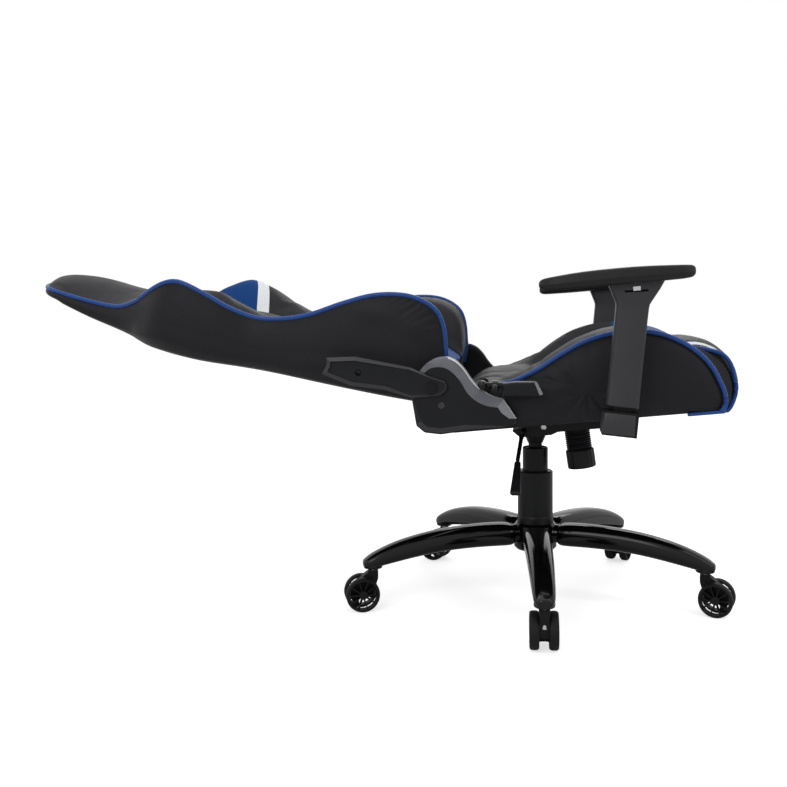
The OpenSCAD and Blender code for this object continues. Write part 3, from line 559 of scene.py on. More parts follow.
# Lines along the backrest, by place: how far forward the rear, the panel's front, the head cushion's front
# and the piping lie, and half the backrest's width.
REAR = [(-12, -28), (40, -33), (300, -35), (380, -37), (450, -38), (525, -34), (572, -32), (617, -28),
        (660, -23), (702, -17), (736, -10), (771, -1), (790, 5), (862, 9)]
FRONT = [(-12, 44), (10, 56), (100, 64), (200, 66), (350, 54), (500, 52), (600, 53)]
HEAD = [(600, 51), (650, 49), (700, 50), (754, 56), (791, 58), (828, 55), (845, 50), (862, 40)]
PIPE = [(-12, 56), (0, 100), (16, 130), (45, 147), (85, 152), (140, 141), (195, 115), (250, 84), (300, 66),
        (352, 58), (400, 66), (450, 83), (500, 96), (528, 91), (564, 69), (586, 53), (609, 38), (649, 21),
        (706, 18), (760, 21), (815, 25), (862, 26)]
HALF = [(-12, 250), (60, 260), (200, 260), (352, 252), (430, 265), (500, 270), (545, 258), (585, 225),
        (600, 208), (640, 182), (700, 164), (770, 157), (800, 149), (820, 134), (840, 100), (855, 64),
        (862, 42)]
# Height of a wing's crest above its piping, where the stripe crosses the crest, and how far the stripe leans.
CREST = [(-12, -5), (250, -5), (320, 3), (386, 13), (500, 16), (590, 13), (600, 12)]
WING_STRIPE, WING_LEAN = 475.0, 38
# Where the wing's blue face begins to reach over the crest.
BLUE_OVER = 508
# Half the width of the seat, and the distance of the bolsters' last section from its middle.
SEAT_HALF = 264.0
SEAT_RIM = SEAT_HALF - 9
# Distance of the outer piping from the seat's middle.
SEAT_WELT = SEAT_HALF - 7
SEAT_PANEL = [(-150, 416), (-138, 432), (-128, 446), (-116, 456), (-100, 461), (-40, 465), (0, 469),
              (40, 476), (120, 492), (200, 512), (270, 533), (310, 535), (350, 521), (382, 492)]
SEAT_NOSE = [(393, 461), (399, 441), (395, 414), (383, 395)]
SEAT_EDGE = [(-150, 413), (-138, 424), (-128, 436), (-116, 445), (-100, 451), (-60, 456), (-36, 463),
             (0, 480), (50, 512), (90, 534), (130, 547), (175, 553), (210, 551), (260, 534), (300, 505)]
# Piping along the centre panel's edge, from the top round the nose.
SEAT_SEAM = [(200, 511), (240, 519), (282, 520), (319, 515), (333, 512), (348, 507), (362, 493), (371, 467),
             (375, 443), (369, 418), (358, 401), (350, 400)]
# Puckers of the side panel where the piping turns round the lower bolster: place (s, w), angle below the
# direction of the head, length, depth and half width.
PUCKERS = [(118, 146, 24, 40, 1.2, 3.4), (97, 147, 29, 46, 1.7, 3.0), (80, 148, 36, 38, 1.6, 2.6),
           (66, 146, 31, 34, 2.0, 2.6), (54, 142, 43, 48, 2.3, 2.8), (41, 137, 39, 32, 1.9, 2.4),
           (28, 126, 32, 40, 2.3, 2.8), (18, 110, 20, 30, 1.5, 2.6), (140, 140, 14, 60, 1.2, 5.0)]


SEAM_WIDTH = 5.0


def seam_rows(places, at, depth):
    """Depth of the drawn-in seams at each place: full on a seam, and it falls evenly to 0 at SEAM_WIDTH."""
    places = np.asarray(places, float)
    d = np.abs(places[..., None] - np.asarray(at, float)).min(-1)
    return depth * np.clip(1 - d / SEAM_WIDTH, 0, 1)


def seat_ring(y):
    """Control points of the seat's centre panel at y: crowned, and drawn back at the sides of its nose."""
    u = y / HALF_PANEL
    top = [(x - 34 * u * u * (max(0, x - 300) / 108) ** 2,
            z - 3 * u * u - 13 * min(1, max(0, (x - 200) / 70)) * u ** 6) for x, z in SEAT_PANEL]
    nose = [(x - 24 * u * u, z) for x, z in SEAT_NOSE]
    return np.array(top + nose + [(352, float(under_seat(352)) + 1), (-150, float(under_seat(-150)) + 1)])


def bolster_ring(y):
    """Control points of a seat bolster's section at y, from the panel's seam to the piped edge."""
    v = (y - HALF_PANEL) / (SEAT_HALF - HALF_PANEL)
    m = (3 - 2 * v / 0.35) * (v / 0.35) ** 2 if v < 0.35 else 1.0
    hump = math.sin(min(1, max(0, v * 1.15)) * math.pi) * 7
    side = -3 * max(0, (v - 0.8) / 0.2) ** 2
    front = 345 - 55 * min(1, max(0, (y - 152) / 78))
    x, z = np.array(SEAT_EDGE, float).T
    inner = np.minimum(line(SEAT_PANEL, x) - 4 - 10 * np.clip((x - 200) / 70, 0, 1), z + 30)
    share = np.clip((x + 150) / 120, 0, 1) * np.clip((252 - x) / 40, -0.5, 1)
    top = side + hump * share + inner + (z - inner) * m
    nose = [(352 - 29 * m, 488 - 19 * m), (370 - 34 * m, 444 - 14 * m), (358 - 29 * m, 406 + 4 * m)]
    ring = list(zip(x, top)) + nose + [(front + 2, float(under_seat(front)) + 1),
                                       (-150, float(under_seat(-150)) + 1)]
    return np.array(ring)


def middles(rings):
    """The faces' middles over rings of points: x, distance from the chair's middle plane, and z."""
    x, y, z = rings.reshape(-1, 3)[grid_faces(*rings.shape[:2])].mean(1).T
    return x, np.abs(y), z


def seat_rings(section, ys, step):
    """Rings of (x, z) round the sections at each y, square at the two lower corners and at the rear."""
    controls = np.array([section(y) for y in ys])
    last = controls.shape[1] - 1
    return through(controls, step, sharp=(0, last - 1, last))


def at_y(rings, y):
    """Rings of (x, z) set at each y."""
    y = np.broadcast_to(np.asarray(y, float)[:, None], rings.shape[:2])
    return np.stack([rings[..., 0], y, rings[..., 1]], -1)


class CHAIR_OT_seat_cushions(bpy.types.Operator):
    """Stuffed centre panel and side bolsters of the seat, with stripes and drawn-in seams"""
    bl_idname = "chair.seat_cushions"
    bl_label = "Seat cushions"

    def execute(self, context):
        sewing = context.scene.chair_sewing
        seam = sewing.seam / MM
        # Centre panel: rings across the chair, with stripes just inside its edges.
        inner, outer = SEAT_STRIPE
        ys = stations(-HALF_PANEL + 1, HALF_PANEL - 1, 9,
                      -outer, -inner, -SEAT_LONG, 0, SEAT_LONG, inner, outer)
        closed = shut(at_y(seat_rings(seat_ring, ys, 8), ys), 2, 8)
        x, far, z = closed[..., 0], np.abs(closed[..., 1]), closed[..., 2]
        sewn = ((z < under_seat(x) + 6) | (far > HALF_PANEL - 3) | (x < -144)
                | (np.abs(far - SEAT_LONG) < 4) & (x < SEAT_CROSS)
                | (np.abs(x - SEAT_CROSS) < 5) & (far < SEAT_LONG + 5) | (np.abs(x - SEAT_REAR) < 5))
        drawn = seam * np.where(x < SEAT_CROSS + 3, seam_rows(far, [SEAT_LONG], 1.6), 0)
        drawn += seam * np.where(far < SEAT_LONG + 3, seam_rows(x, [SEAT_CROSS], 1.4), 0)
        drawn += seam * seam_rows(x, [SEAT_REAR], 1.8)
        drawn += seam_rows(far, SEAT_STRIPE, 0.8) * (x > 150)
        drawn *= z > 430 - 0.3 * (x - 350) * (x > 350)
        x, far, z = middles(closed)
        white = (far > inner) & (far < outer) & (z > 500) & (x > 205 + 1.6 * (far - inner))
        panel = shell("seat_panel", closed, "seat", "leather leather_white", "upholstery",
                      zones=white.astype(int), marks={"sewn": sewn, "seam": drawn}, replaces=["seat_cushion"])
        swell(panel, sewing.swell_seat / MM * 0.55)
        for side, word in ((-1, "right"), (1, "left")):
            ys = stations(HALF_PANEL + 1, SEAT_RIM, 8)
            closed = shut(at_y(seat_rings(bolster_ring, ys, 7), ys), 9, 9)
            x, y, z = np.moveaxis(closed, -1, 0)
            sewn = (z < under_seat(x) + 6) | (y < HALF_PANEL + 3) | (np.abs(y - SEAT_RIM) < 2) | (x < -140)
            drawn = seam * seam_rows(x, [SEAT_REAR, BOLSTER_BLUE[0]], 1.2) * (y < SEAT_RIM) * (z > 430)
            x, far, z = middles(closed)
            blue = (z > 450) & (far < SEAT_RIM - 0.5) & (x > BOLSTER_BLUE[0]) & (x < BOLSTER_BLUE[1])
            pad = shell(f"seat_bolster_pad_{word}", closed * (1, side, 1), "seat", "leather leather_blue",
                        "upholstery", zones=blue.astype(int), marks={"sewn": sewn, "seam": drawn},
                        replaces=[f"seat_bolster_{word}"])
            swell(pad, sewing.swell_bolster / MM)
        return {"FINISHED"}


def seat_edge():
    """Line of the piping round the outer edge of a seat bolster, as (x, z)."""
    nose = [(315, 487), (325, 468), (333, 450), (337, 430), (334, 418), (328, 411)]
    return np.array([(-149, 398), (-147, 414)] + SEAT_EDGE[1:] + nose, float) - (0, 1)


def across_seat(path, y):
    """Line of (x, z) set at one y."""
    x, z = np.array(path, float).T
    return np.stack([x, np.full(len(x), y), z], 1)


class CHAIR_OT_seat_piping(bpy.types.Operator):
    """Piping of the seat: the outer edges, the centre panel's nose and the hem below the front corners"""
    bl_idname = "chair.seat_piping"
    bl_label = "Seat piping"

    def execute(self, context):
        r = context.scene.chair_sewing.piping / MM / 2
        x = np.linspace(272, 334, 16)
        hem = np.stack([x, under_seat(x) - 0.5], 1)
        grids = []
        for side in (-1, 1):
            for path, y in ((seat_edge(), SEAT_WELT), (SEAT_SEAM, HALF_PANEL + 1)):
                grids.append(shut(tube_rings(curve(across_seat(path, side * y), 4), r), r * 0.7, 3))
            grids.append(shut(tube_rings(across_seat(hem, side * SEAT_WELT), 4.2, flat=0.75), 2, 3))
        piece("seat_piping", *merged(grids), "seat", "piping", "upholstery")
        return {"FINISHED"}


def back_rings(s, controls, step, sharp):
    """Rings of (y, w) control points at each s, placed on the backrest."""
    ring = through(controls, step, sharp)
    return on_back(np.asarray(s)[:, None], ring[..., 0], ring[..., 1]), ring


def section_rows(s, corners):
    """Control points of a section at each s: every corner is (y, w), each a number or one for each s."""
    return np.stack([np.stack(np.broadcast_arrays(y, w, s)[:2], -1) for y, w in corners], 1)


def between_rows(s, caps):
    """Places halfway between the rings of a shut pad whose ends take caps rings each."""
    place = np.pad(s, caps, mode="edge")
    return (place[1:] + place[:-1]) / 2


class CHAIR_OT_back_cushions(bpy.types.Operator):
    """Stuffed centre panel, winged side bolsters and head cushion of the backrest"""
    bl_idname = "chair.back_cushions"
    bl_label = "Backrest cushions"

    def execute(self, context):
        sewing = context.scene.chair_sewing
        seam = sewing.seam / MM
        # Centre panel: sewn across into channels, between two plain stripes.
        caps = 8
        s = stations(-10, HEAD_FOOT, 8, *CHANNELS)
        w = line(FRONT, s)
        a = HALF_PANEL - 1
        placed, ring = back_rings(s, section_rows(s, [
            (-a, SPLIT), (-a, w - 11), (-75, w - 8), (0, w - 8), (75, w - 8), (a, w - 11), (a, SPLIT)]),
            9, (0, 1, 5, 6))
        closed = shut(placed, 3, caps)
        deep = np.broadcast_to(s[:, None], ring.shape[:2])
        far, front = np.abs(ring[..., 0]), ring[..., 1] > FRONT_FACE
        drawn = seam * 1.6 * seam_rows(deep, CHANNELS, 1.0) * (far < BACK_LONG - 6) * front
        drawn += seam * seam_rows(far, [BACK_LONG], 1.6) * front
        # Sewn down within 2 mm of a channel's seam.
        sewn = ~front | (far > a - 3) | (seam_rows(deep, CHANNELS, 1.0) > 1 - 2 / SEAM_WIDTH)
        foot = np.broadcast_to((between_rows(s, caps) < 20)[:, None], (len(closed) - 1, closed.shape[1]))
        centre = shell("back_panel", closed, "back", "leather leather_blue", "upholstery", zones=foot,
                       marks={"sewn": padded_rings(sewn, caps, 1), "seam": padded_rings(drawn, caps, 0)},
                       replaces=["back_cushion"])
        swell(centre, sewing.swell_seat / MM * 0.5)
        # Bolsters: the wing's inner face is blue, then a stripe, then black down to the seat.
        caps = 7
        for side, word in ((-1, "right"), (1, "left")):
            low, high = WING_STRIPE, WING_STRIPE + sewing.stripe / MM
            s = stations(-12, HEAD_FOOT, 8, low, high)
            share = np.array([0, 0, 0.07, 0.25, 0.5, 0.75, 1, 1])
            # The stripe leans: rows lie nearer the seat at the panel's seam than on the crest.
            lean = WING_LEAN * np.exp(-((s - 489) / 85) ** 2) * (s < HEAD_FOOT - 4)
            at = s[:, None] - lean[:, None] * (1 - share / 0.75) * (share < 0.75)
            h, w0, w1 = line(HALF, at) - 6, line(FRONT, at) - 8, line(PIPE, at) - 1
            crest = w1 + line(CREST, at)
            if side < 0:
                # The sitter's right wing is stuffed less full towards the head.
                crest = crest - 19 * np.clip((at - 430) / 50, 0, 1) * np.clip((HEAD_FOOT - at) / 60, 0, 1)
            a = HALF_PANEL + 1
            # Corners of a section: foot and top of the panel's seam, four up to the crest, the piping, and
            # the foot below it.
            rise = np.array([0, 0, 0.12, 0.5, 0.88, 1, 1, 1])
            w = w0 + rise * (crest - w0)
            w[:, [0, 7]], w[:, 6] = SPLIT, w1[:, 6]
            controls = np.stack([at, a + (h - a) * share, w], -1)
            ring = through(controls, 8, (0, 1, 6, 7))
            closed = shut(on_back(*np.moveaxis(ring, -1, 0)) * (1, side, 1), 4, caps)
            across = (ring[..., 1] - a) / (line(HALF, ring[..., 0]) - 6 - a)
            front = ring[..., 2] > FRONT_FACE
            drawn = seam * seam_rows(s, [low, high], 1.2)[:, None] * front * (across < 0.76)
            drawn += seam * 0.8 * seam_rows(across, [0.75], 0.02) * front
            sewn = ~front | (across < 0.03) | (across > 0.985) | (np.abs(s[:, None] - HEAD_FOOT + 1) < 6)
            between = between_rows(s, caps)[:, None]
            zone = np.where(between > high, 1, np.where(between > low, 2, 0))
            spread = padded_rings(np.where(front, across, 1.0), caps, 1)
            turned = np.roll(spread, -1, 1)
            mean = (spread[1:] + spread[:-1] + turned[1:] + turned[:-1]) / 4
            # The blue face ends at the crest, reaches over it near the head, and covers the end at the seat.
            zones = np.where(mean < np.where(between > BLUE_OVER, 0.8, 0.75), zone, 0)
            zones = np.where(between < -11, 1, zones)
            pad = shell(f"back_bolster_pad_{word}", closed, "back", "leather leather_blue leather_white",
                        "upholstery", zones=zones, replaces=[f"back_bolster_{word}"],
                        marks={"sewn": padded_rings(sewn, caps, 1), "seam": padded_rings(drawn, caps, 0)})
            swell(pad, sewing.swell_bolster / MM)
        # Head cushion.
        s = stations(HEAD_FOOT + 1, 858, 7)
        h, w, edge = line(HALF, s) - 5, line(HEAD, s), line(PIPE, s)
        share = np.array([-1, -0.86, -0.6, -0.3, 0, 0.3, 0.6, 0.86, 1])
        corners = [(k * h, edge + (np.maximum(w, edge) - 3 - edge) * (1 - abs(k) ** 2.6)) for k in share]
        placed, ring = back_rings(s, section_rows(s, corners + [(h, SPLIT), (-h, SPLIT)]), 8, (0, 8, 9, 10))
        sewn = (ring[..., 1] < edge[:, None] + 1) | (np.abs(ring[..., 0]) > h[:, None] - 2)
        head = shell("head_pad", shut(placed, 8, caps), "back", "leather", "upholstery",
                     marks={"sewn": padded_rings(sewn, caps, 0)}, replaces=["head_cushion"])
        swell(head, sewing.swell_bolster / MM)
        return {"FINISHED"}


def puckers(s, w):
    """Relief of the pulled side panel: each pucker is a groove with a soft ridge below it, which fades out
    along its length, and two broad puffs lie between them."""
    total = np.zeros_like(s)
    for s0, w0, angle, reach, deep, wide in PUCKERS:
        a = math.radians(angle)
        along = (s - s0) * math.cos(a) - (w - w0) * math.sin(a)
        across = (s - s0) * math.sin(a) + (w - w0) * math.cos(a)
        fade = np.clip((along + 3) / 5, 0, 1) * np.clip(1 - along / reach, 0, 1)
        total += deep * fade * (0.55 * np.exp(-((across + 1.9 * wide) / (1.5 * wide)) ** 2)
                                - np.exp(-(across / wide) ** 2))
    total += 2.6 * np.exp(-((s - 125) / 55) ** 2 - ((w - 112) / 20) ** 2)
    total += 2.2 * np.exp(-((s - 50) / 26) ** 2 - ((w - 96) / 18) ** 2)
    return total


class CHAIR_OT_back_cover(bpy.types.Operator):
    """Leather shell of the backrest: both side panels and the rear, from piping to piping"""
    bl_idname = "chair.back_cover"
    bl_label = "Backrest cover"

    def execute(self, context):
        s = np.concatenate([stations(-14, 190, 2.6), stations(196, 862, 8)])
        h, w1, w = line(HALF, s), line(PIPE, s), line(REAR, s)
        low = np.minimum(w, SPLIT - 6)
        # Near the head's end the rear closes up to the piping.
        close = np.clip((s - 770) / 92, 0, 1) ** 2
        low = low + (w1 - 5 - low) * close
        down = lambda k: w1 + (low - w1) * k
        outer = [(h - 3, w1 - 1), (h + 1.5, down(0.3)), (h + 2.5, down(0.6)), (h - 2, down(0.88)),
                 (h - 14, low + 0.5), (h * 0.72, low - 2), (h * 0.36, low - 3)]
        inner = [(h - 7, w1 - 2), (h - 6, down(0.5)), (h - 10, down(0.8) + 3), (h - 22, low + 5),
                 (h * 0.5, low + 3)]
        row = outer + [(0, low - 3)] + [(-y, z) for y, z in outer[::-1]]
        row += [(-y, z) for y, z in inner] + inner[::-1]
        # Points lie close together on both side panels, where the puckers are.
        fine = np.full(len(row), 16.0)
        fine[[0, 1, 2, 11, 12, 13]] = 2.2
        placed, ring = back_rings(s, section_rows(s, row), fine, (0, 14, 15, 24))
        shown = np.clip((np.abs(ring[..., 0]) - h[:, None] + 5) / 4, 0, 1)
        lift = puckers(np.broadcast_to(s[:, None], shown.shape), ring[..., 1]) * shown
        placed[..., 1] += np.sign(ring[..., 0]) * lift
        shell("back_cover", shut(placed, 1, 3), "back", "leather", "rear_cover_skin",
              replaces=["back_rear_cover"])
        return {"FINISHED"}


class CHAIR_OT_back_piping(bpy.types.Operator):
    """Piping round the backrest: up one side, round the head and down the other"""
    bl_idname = "chair.back_piping"
    bl_label = "Backrest piping"

    def execute(self, context):
        r = context.scene.chair_sewing.piping / MM / 2
        s = np.concatenate([[-13, -13, -12, -8], np.arange(0, 848, 8.0), [852, 858]])
        w = line(PIPE, s)
        w[:2] = (18, 38)
        y = line(HALF, s) - 3
        near = np.stack([s, -y, w], 1)
        tip = np.array([[862, -30, 26], [863, 0, 26], [862, 30, 26]])
        far = near[::-1] * [1, -1, 1]
        path = np.concatenate([near, tip, far])
        rings = shut(tube_rings(curve(on_back(*path.T), 4), r, up=(0.2, 0, 1)), r * 0.7, 3)
        shell("back_piping", rings, "back", "piping", "upholstery")
        return {"FINISHED"}


# ---- hinges and recline lever ----
HINGE = np.array([(-220, 433), (-211, 381), (-196, 369), (-167, 366), (-121, 373), (-50, 380), (-34, 386),
                  (-31, 397), (-54, 431), (-77, 436), (-101, 453), (-112, 466), (-127, 487), (-140, 499),
                  (-155, 505), (-167, 505), (-190, 495), (-205, 478)], float)
TRIM_IN = np.array([(-197, 474), (-188, 483), (-173, 487), (-160, 486), (-146, 478), (-132, 463), (-118, 441),
                    (-105, 429), (-84, 419), (-62, 416)], float)
TRIM_OUT = np.array([(-206, 478), (-190, 495), (-168, 505), (-154, 505), (-140, 499), (-126, 486),
                     (-111, 465), (-100, 453), (-76, 437), (-54, 431)], float)
FACET = np.array([(-65, 418), (-54, 431), (-31, 397), (-44, 397), (-58, 407)], float)
ARM = np.array([(-381, 474), (-372, 491), (-373, 504), (-319, 506), (-219, 487), (-189, 473), (-158, 463),
                (-153, 454), (-155, 446), (-166, 437), (-190, 434), (-219, 432), (-265, 446),
                (-327, 453)], float)
ARM_HOLE = (-314, 477)


class CHAIR_OT_hinges(bpy.types.Operator):
    """Recline hinges: moulded covers with their lacquered trim, and the arms that carry the backrest"""
    bl_idname = "chair.hinges"
    bl_label = "Hinges"

    def execute(self, context):
        for side, word in ((-1, "right"), (1, "left")):
            inner, outer = reach_of(f"hinge_cover_{word}")
            # Cover: its lower edge falls back in a broad bevel, painted in the paler textured finish as
            # painted light.
            under = np.clip((392 - HINGE[:, 1]) / 8, 0, 1) * np.clip((-46 - HINGE[:, 0]) / 25, 0, 1)
            low = under[:, None]
            lit_bevel_band = np.zeros((6, len(HINGE)), int)
            lit_bevel_band[3] = under > 0.5
            tray(f"hinge_shell_{word}", HINGE, 3, [
                (1.5, inner + 0.2), (0, inner + 1.5), (0, outer - 9), (1.2 + 1.5 * low, outer - 7),
                (2.0 + 10 * low, outer - 1.0), (3.2 + 9.6 * low, outer - 0.4), (5 + 9 * low, outer - 0.3)],
                side, "seat", "moulded textured", "moulded_black", smooth=20, bands=lit_bevel_band,
                replaces=[f"hinge_cover_{word}"])
            # Bracket: a steel plate behind the cover, with two bosses into the seat's frame.
            plate = (inner - 4.3, inner - 0.3)
            tray(f"hinge_bracket_{word}", inset(HINGE, 6), 1, [(0.4, plate[0]), (0, plate[0] + 0.4),
                 (0, plate[1] - 0.4), (0.4, plate[1])], side, "seat", "powder", "black_steel",
                 replaces=["hinge_plates"])
            for k, at in enumerate(((-118, 398), (-72, 402))):
                boss = lathe([(0, 0.4), (8, 0.4), (8, -26), (0, -26)], (at[0], side * plate[0], at[1]),
                             (0, side, 0), 20)
                shell(f"hinge_boss_{word}_{k + 1}", boss, "seat", "powder", "black_steel", smooth=30)
            a, b = curve(TRIM_IN, 5), curve(TRIM_OUT, 5)
            n = 60
            a, b = (np.stack([np.interp(np.linspace(0, 1, n), np.linspace(0, 1, len(p)), p[:, i])
                              for i in range(2)], 1) for p in (a, b))
            # Trim: each row runs along it, at a share of the way from its inner edge to its outer one.
            rows = []
            for share, y in ((0.0, outer - 1), (0.0, outer + 0.6), (0.05, outer + 1.5), (0.86, outer + 1.9),
                             (0.92, outer + 1.6), (1.0, outer - 0.4), (1.04, outer - 3.5), (1.04, outer - 12),
                             (0.9, outer - 12)):
                flat = a + (b - a) * share
                rows.append(np.stack([flat[:, 0], np.full(n, side * y), flat[:, 1]], 1))
            rings = shut(np.array(rows).transpose(1, 0, 2), 0.3, 2)
            # Faces 22 to 45 along the trim, on its bevel, take the near-white lacquer: a painted highlight
            # line.
            bevel = np.zeros((len(rings) - 1, 9), int)
            bevel[22:46, 4] = 1
            shell(f"hinge_trim_{word}", rings, "seat", "lacquer lacquer_edge", "grey_strip",
                  smooth=22, zones=bevel, replaces=["hinge_strips"])
            # Facet: the paler lacquer is painted light on a face turned to the lamps, and one edge carries
            # the painted highlight line.
            tray(f"hinge_facet_{word}", FACET, 1, [(0, outer - 4), (0, outer + 1.4), (0.9, outer + 2.3),
                 (2.6, outer + 2.4)], side, "seat", "lacquer_pale lacquer_edge", "grey_strip",
                 smooth=20, bands=[[0] * 5, [0, 1, 0, 0, 0], [0] * 5])
            pin = lathe([(0, 1), (5.5, 1), (6, 0.6), (6, -2), (0, -2)],
                        (-165, side * outer, 419), (0, side, 0), 24)
            shell(f"hinge_plug_{word}", pin, "seat", "textured", "moulded_black", smooth=30)
            back = reach_of(f"back_arm_{word}")[1]
            # Arm: a raised rim slopes out to a ridge and drops to the flat inside it. The rim narrows and the
            # flat rises towards the pivot. The rim's outer slope is painted in the paler textured finish, as
            # painted light from above.
            broad = np.clip((-205 - ARM[:, 0]) / 40, 0, 1)
            rim, sunk = 1.6 + 5 * broad[:, None], 0.3 + 1.6 * broad
            tray(f"back_arm_plate_{word}", ARM, 2.5, [
                (0.5, back - 7.4), (0, back - 6.9), (0, back - 3.5), (0.6, back - 2.6), (rim, back - 0.3),
                (rim + 0.8, back), (rim + 1.6, back - 0.15), (rim + 2.6, back - sunk),
                (rim + 4, back - sunk - 0.1)],
                side, "back", "moulded textured", "black_steel", smooth=16,
                bands=[0, 0, 0, 1, 1, 0, 0, 0], replaces=[f"back_arm_{word}"])
            # Bolt's socket in the arm: a near-black disc, painted shade for the hole.
            hole = lathe([(0, 0.2), (4.6, 0.2), (5.0, 0.7), (5.7, 0.7), (6.0, 0.2), (6.0, -1), (0, -1)],
                         (ARM_HOLE[0], side * (back - 2), ARM_HOLE[1]), (0, side, 0), 24)
            shell(f"back_arm_bolt_shade_{word}", hole, "back", "pitch", "black_steel", smooth=30)
        for node in ("hinge_pins", "back_frame"):
            repaint(node, "powder")
        return {"FINISHED"}


class CHAIR_OT_recline_lever(bpy.types.Operator):
    """Recline lever on the sitter's right, with its chamfered grip"""
    bl_idname = "chair.recline_lever"
    bl_label = "Recline lever"

    def execute(self, context):
        low, high = (np.array(v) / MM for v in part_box("recline_grip"))
        y = -(low[1] + high[1]) / 2
        x0, x1, z0, z1 = low[0], high[0], low[2], high[2]
        outline = [(x0, z0), (x1 - 3, z0), (x1 + 1, z0 + 4), (x1 - 10, z1), (x0 + 26, z1), (x0, z1 - 3)]
        tray("recline_grip_body", outline, 2.5, [
            (4, y - 11), (1, y - 10), (0, y - 8), (0, y + 5), (1.0, y + 8.5), (3.5, y + 10.4),
            (5.5, y + 10.6)],
            -1, "recline_handle", "moulded", "moulded_black", smooth=24, replaces=["recline_grip"])
        # Tip: the same paler lacquer, painted light where its bevel catches the lamps.
        tip = [(x1 - 5, z0 + 2.5), (x1 + 1, z0 + 4.5), (x1 - 10, z1 - 0.5), (x1 - 14, z1 - 1.5)]
        tray("recline_grip_tip", tip, 1, [(0, y + 2), (0, y + 10.8), (0.8, y + 11.4)], -1,
             "recline_handle", "lacquer_pale", "grey_strip", smooth=20)
        # Eye in which the lever's pin turns.
        plate = reach_of("hinge_cover_right")[0]
        eye = [(-99, 430), (-99, 462), (-94, 467), (-86, 467), (-81, 462), (-81, 430)]
        tray("lever_eye", eye, 3, [
            (0.4, plate - 4.2), (0, plate - 3.8), (0, plate - 0.9), (0.4, plate - 0.5)],
            -1, "seat", "powder", "black_steel")
        # Domed screws that hold the lever.
        for k, (x, z, r) in enumerate(((-91, 458, 8.2), (-69, 452, 7.6))):
            dome = [(0, 9), (0.3 * r, 8.7), (0.6 * r, 7.4), (0.84 * r, 5), (0.96 * r, 2.4), (r, 0), (r, -2),
                    (0, -2)]
            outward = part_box("recline_lever")[0][1] / MM
            shell(f"lever_screw_{k + 1}", lathe(dome, (x, outward, z), (0, -1, 0), 28), "recline_handle",
                  "enamel", "black_steel", smooth=50)
        repaint("recline_lever", "enamel")
        return {"FINISHED"}


# ---- armrests ----
def in_arm(x, y, z, side):
    """Points in an upright's own frame, placed on the chair."""
    foot = np.array([ARM_PLACE, ARM_APART * side, under_seat(ARM_PLACE) + ARM_RISE])
    sin, cos = math.sin(ARM_LEAN), math.cos(ARM_LEAN)
    x, y, z = np.broadcast_arrays(x, y, z)
    return np.stack([foot[0] + x * cos + z * sin, foot[1] + y, foot[2] - x * sin + z * cos], -1)


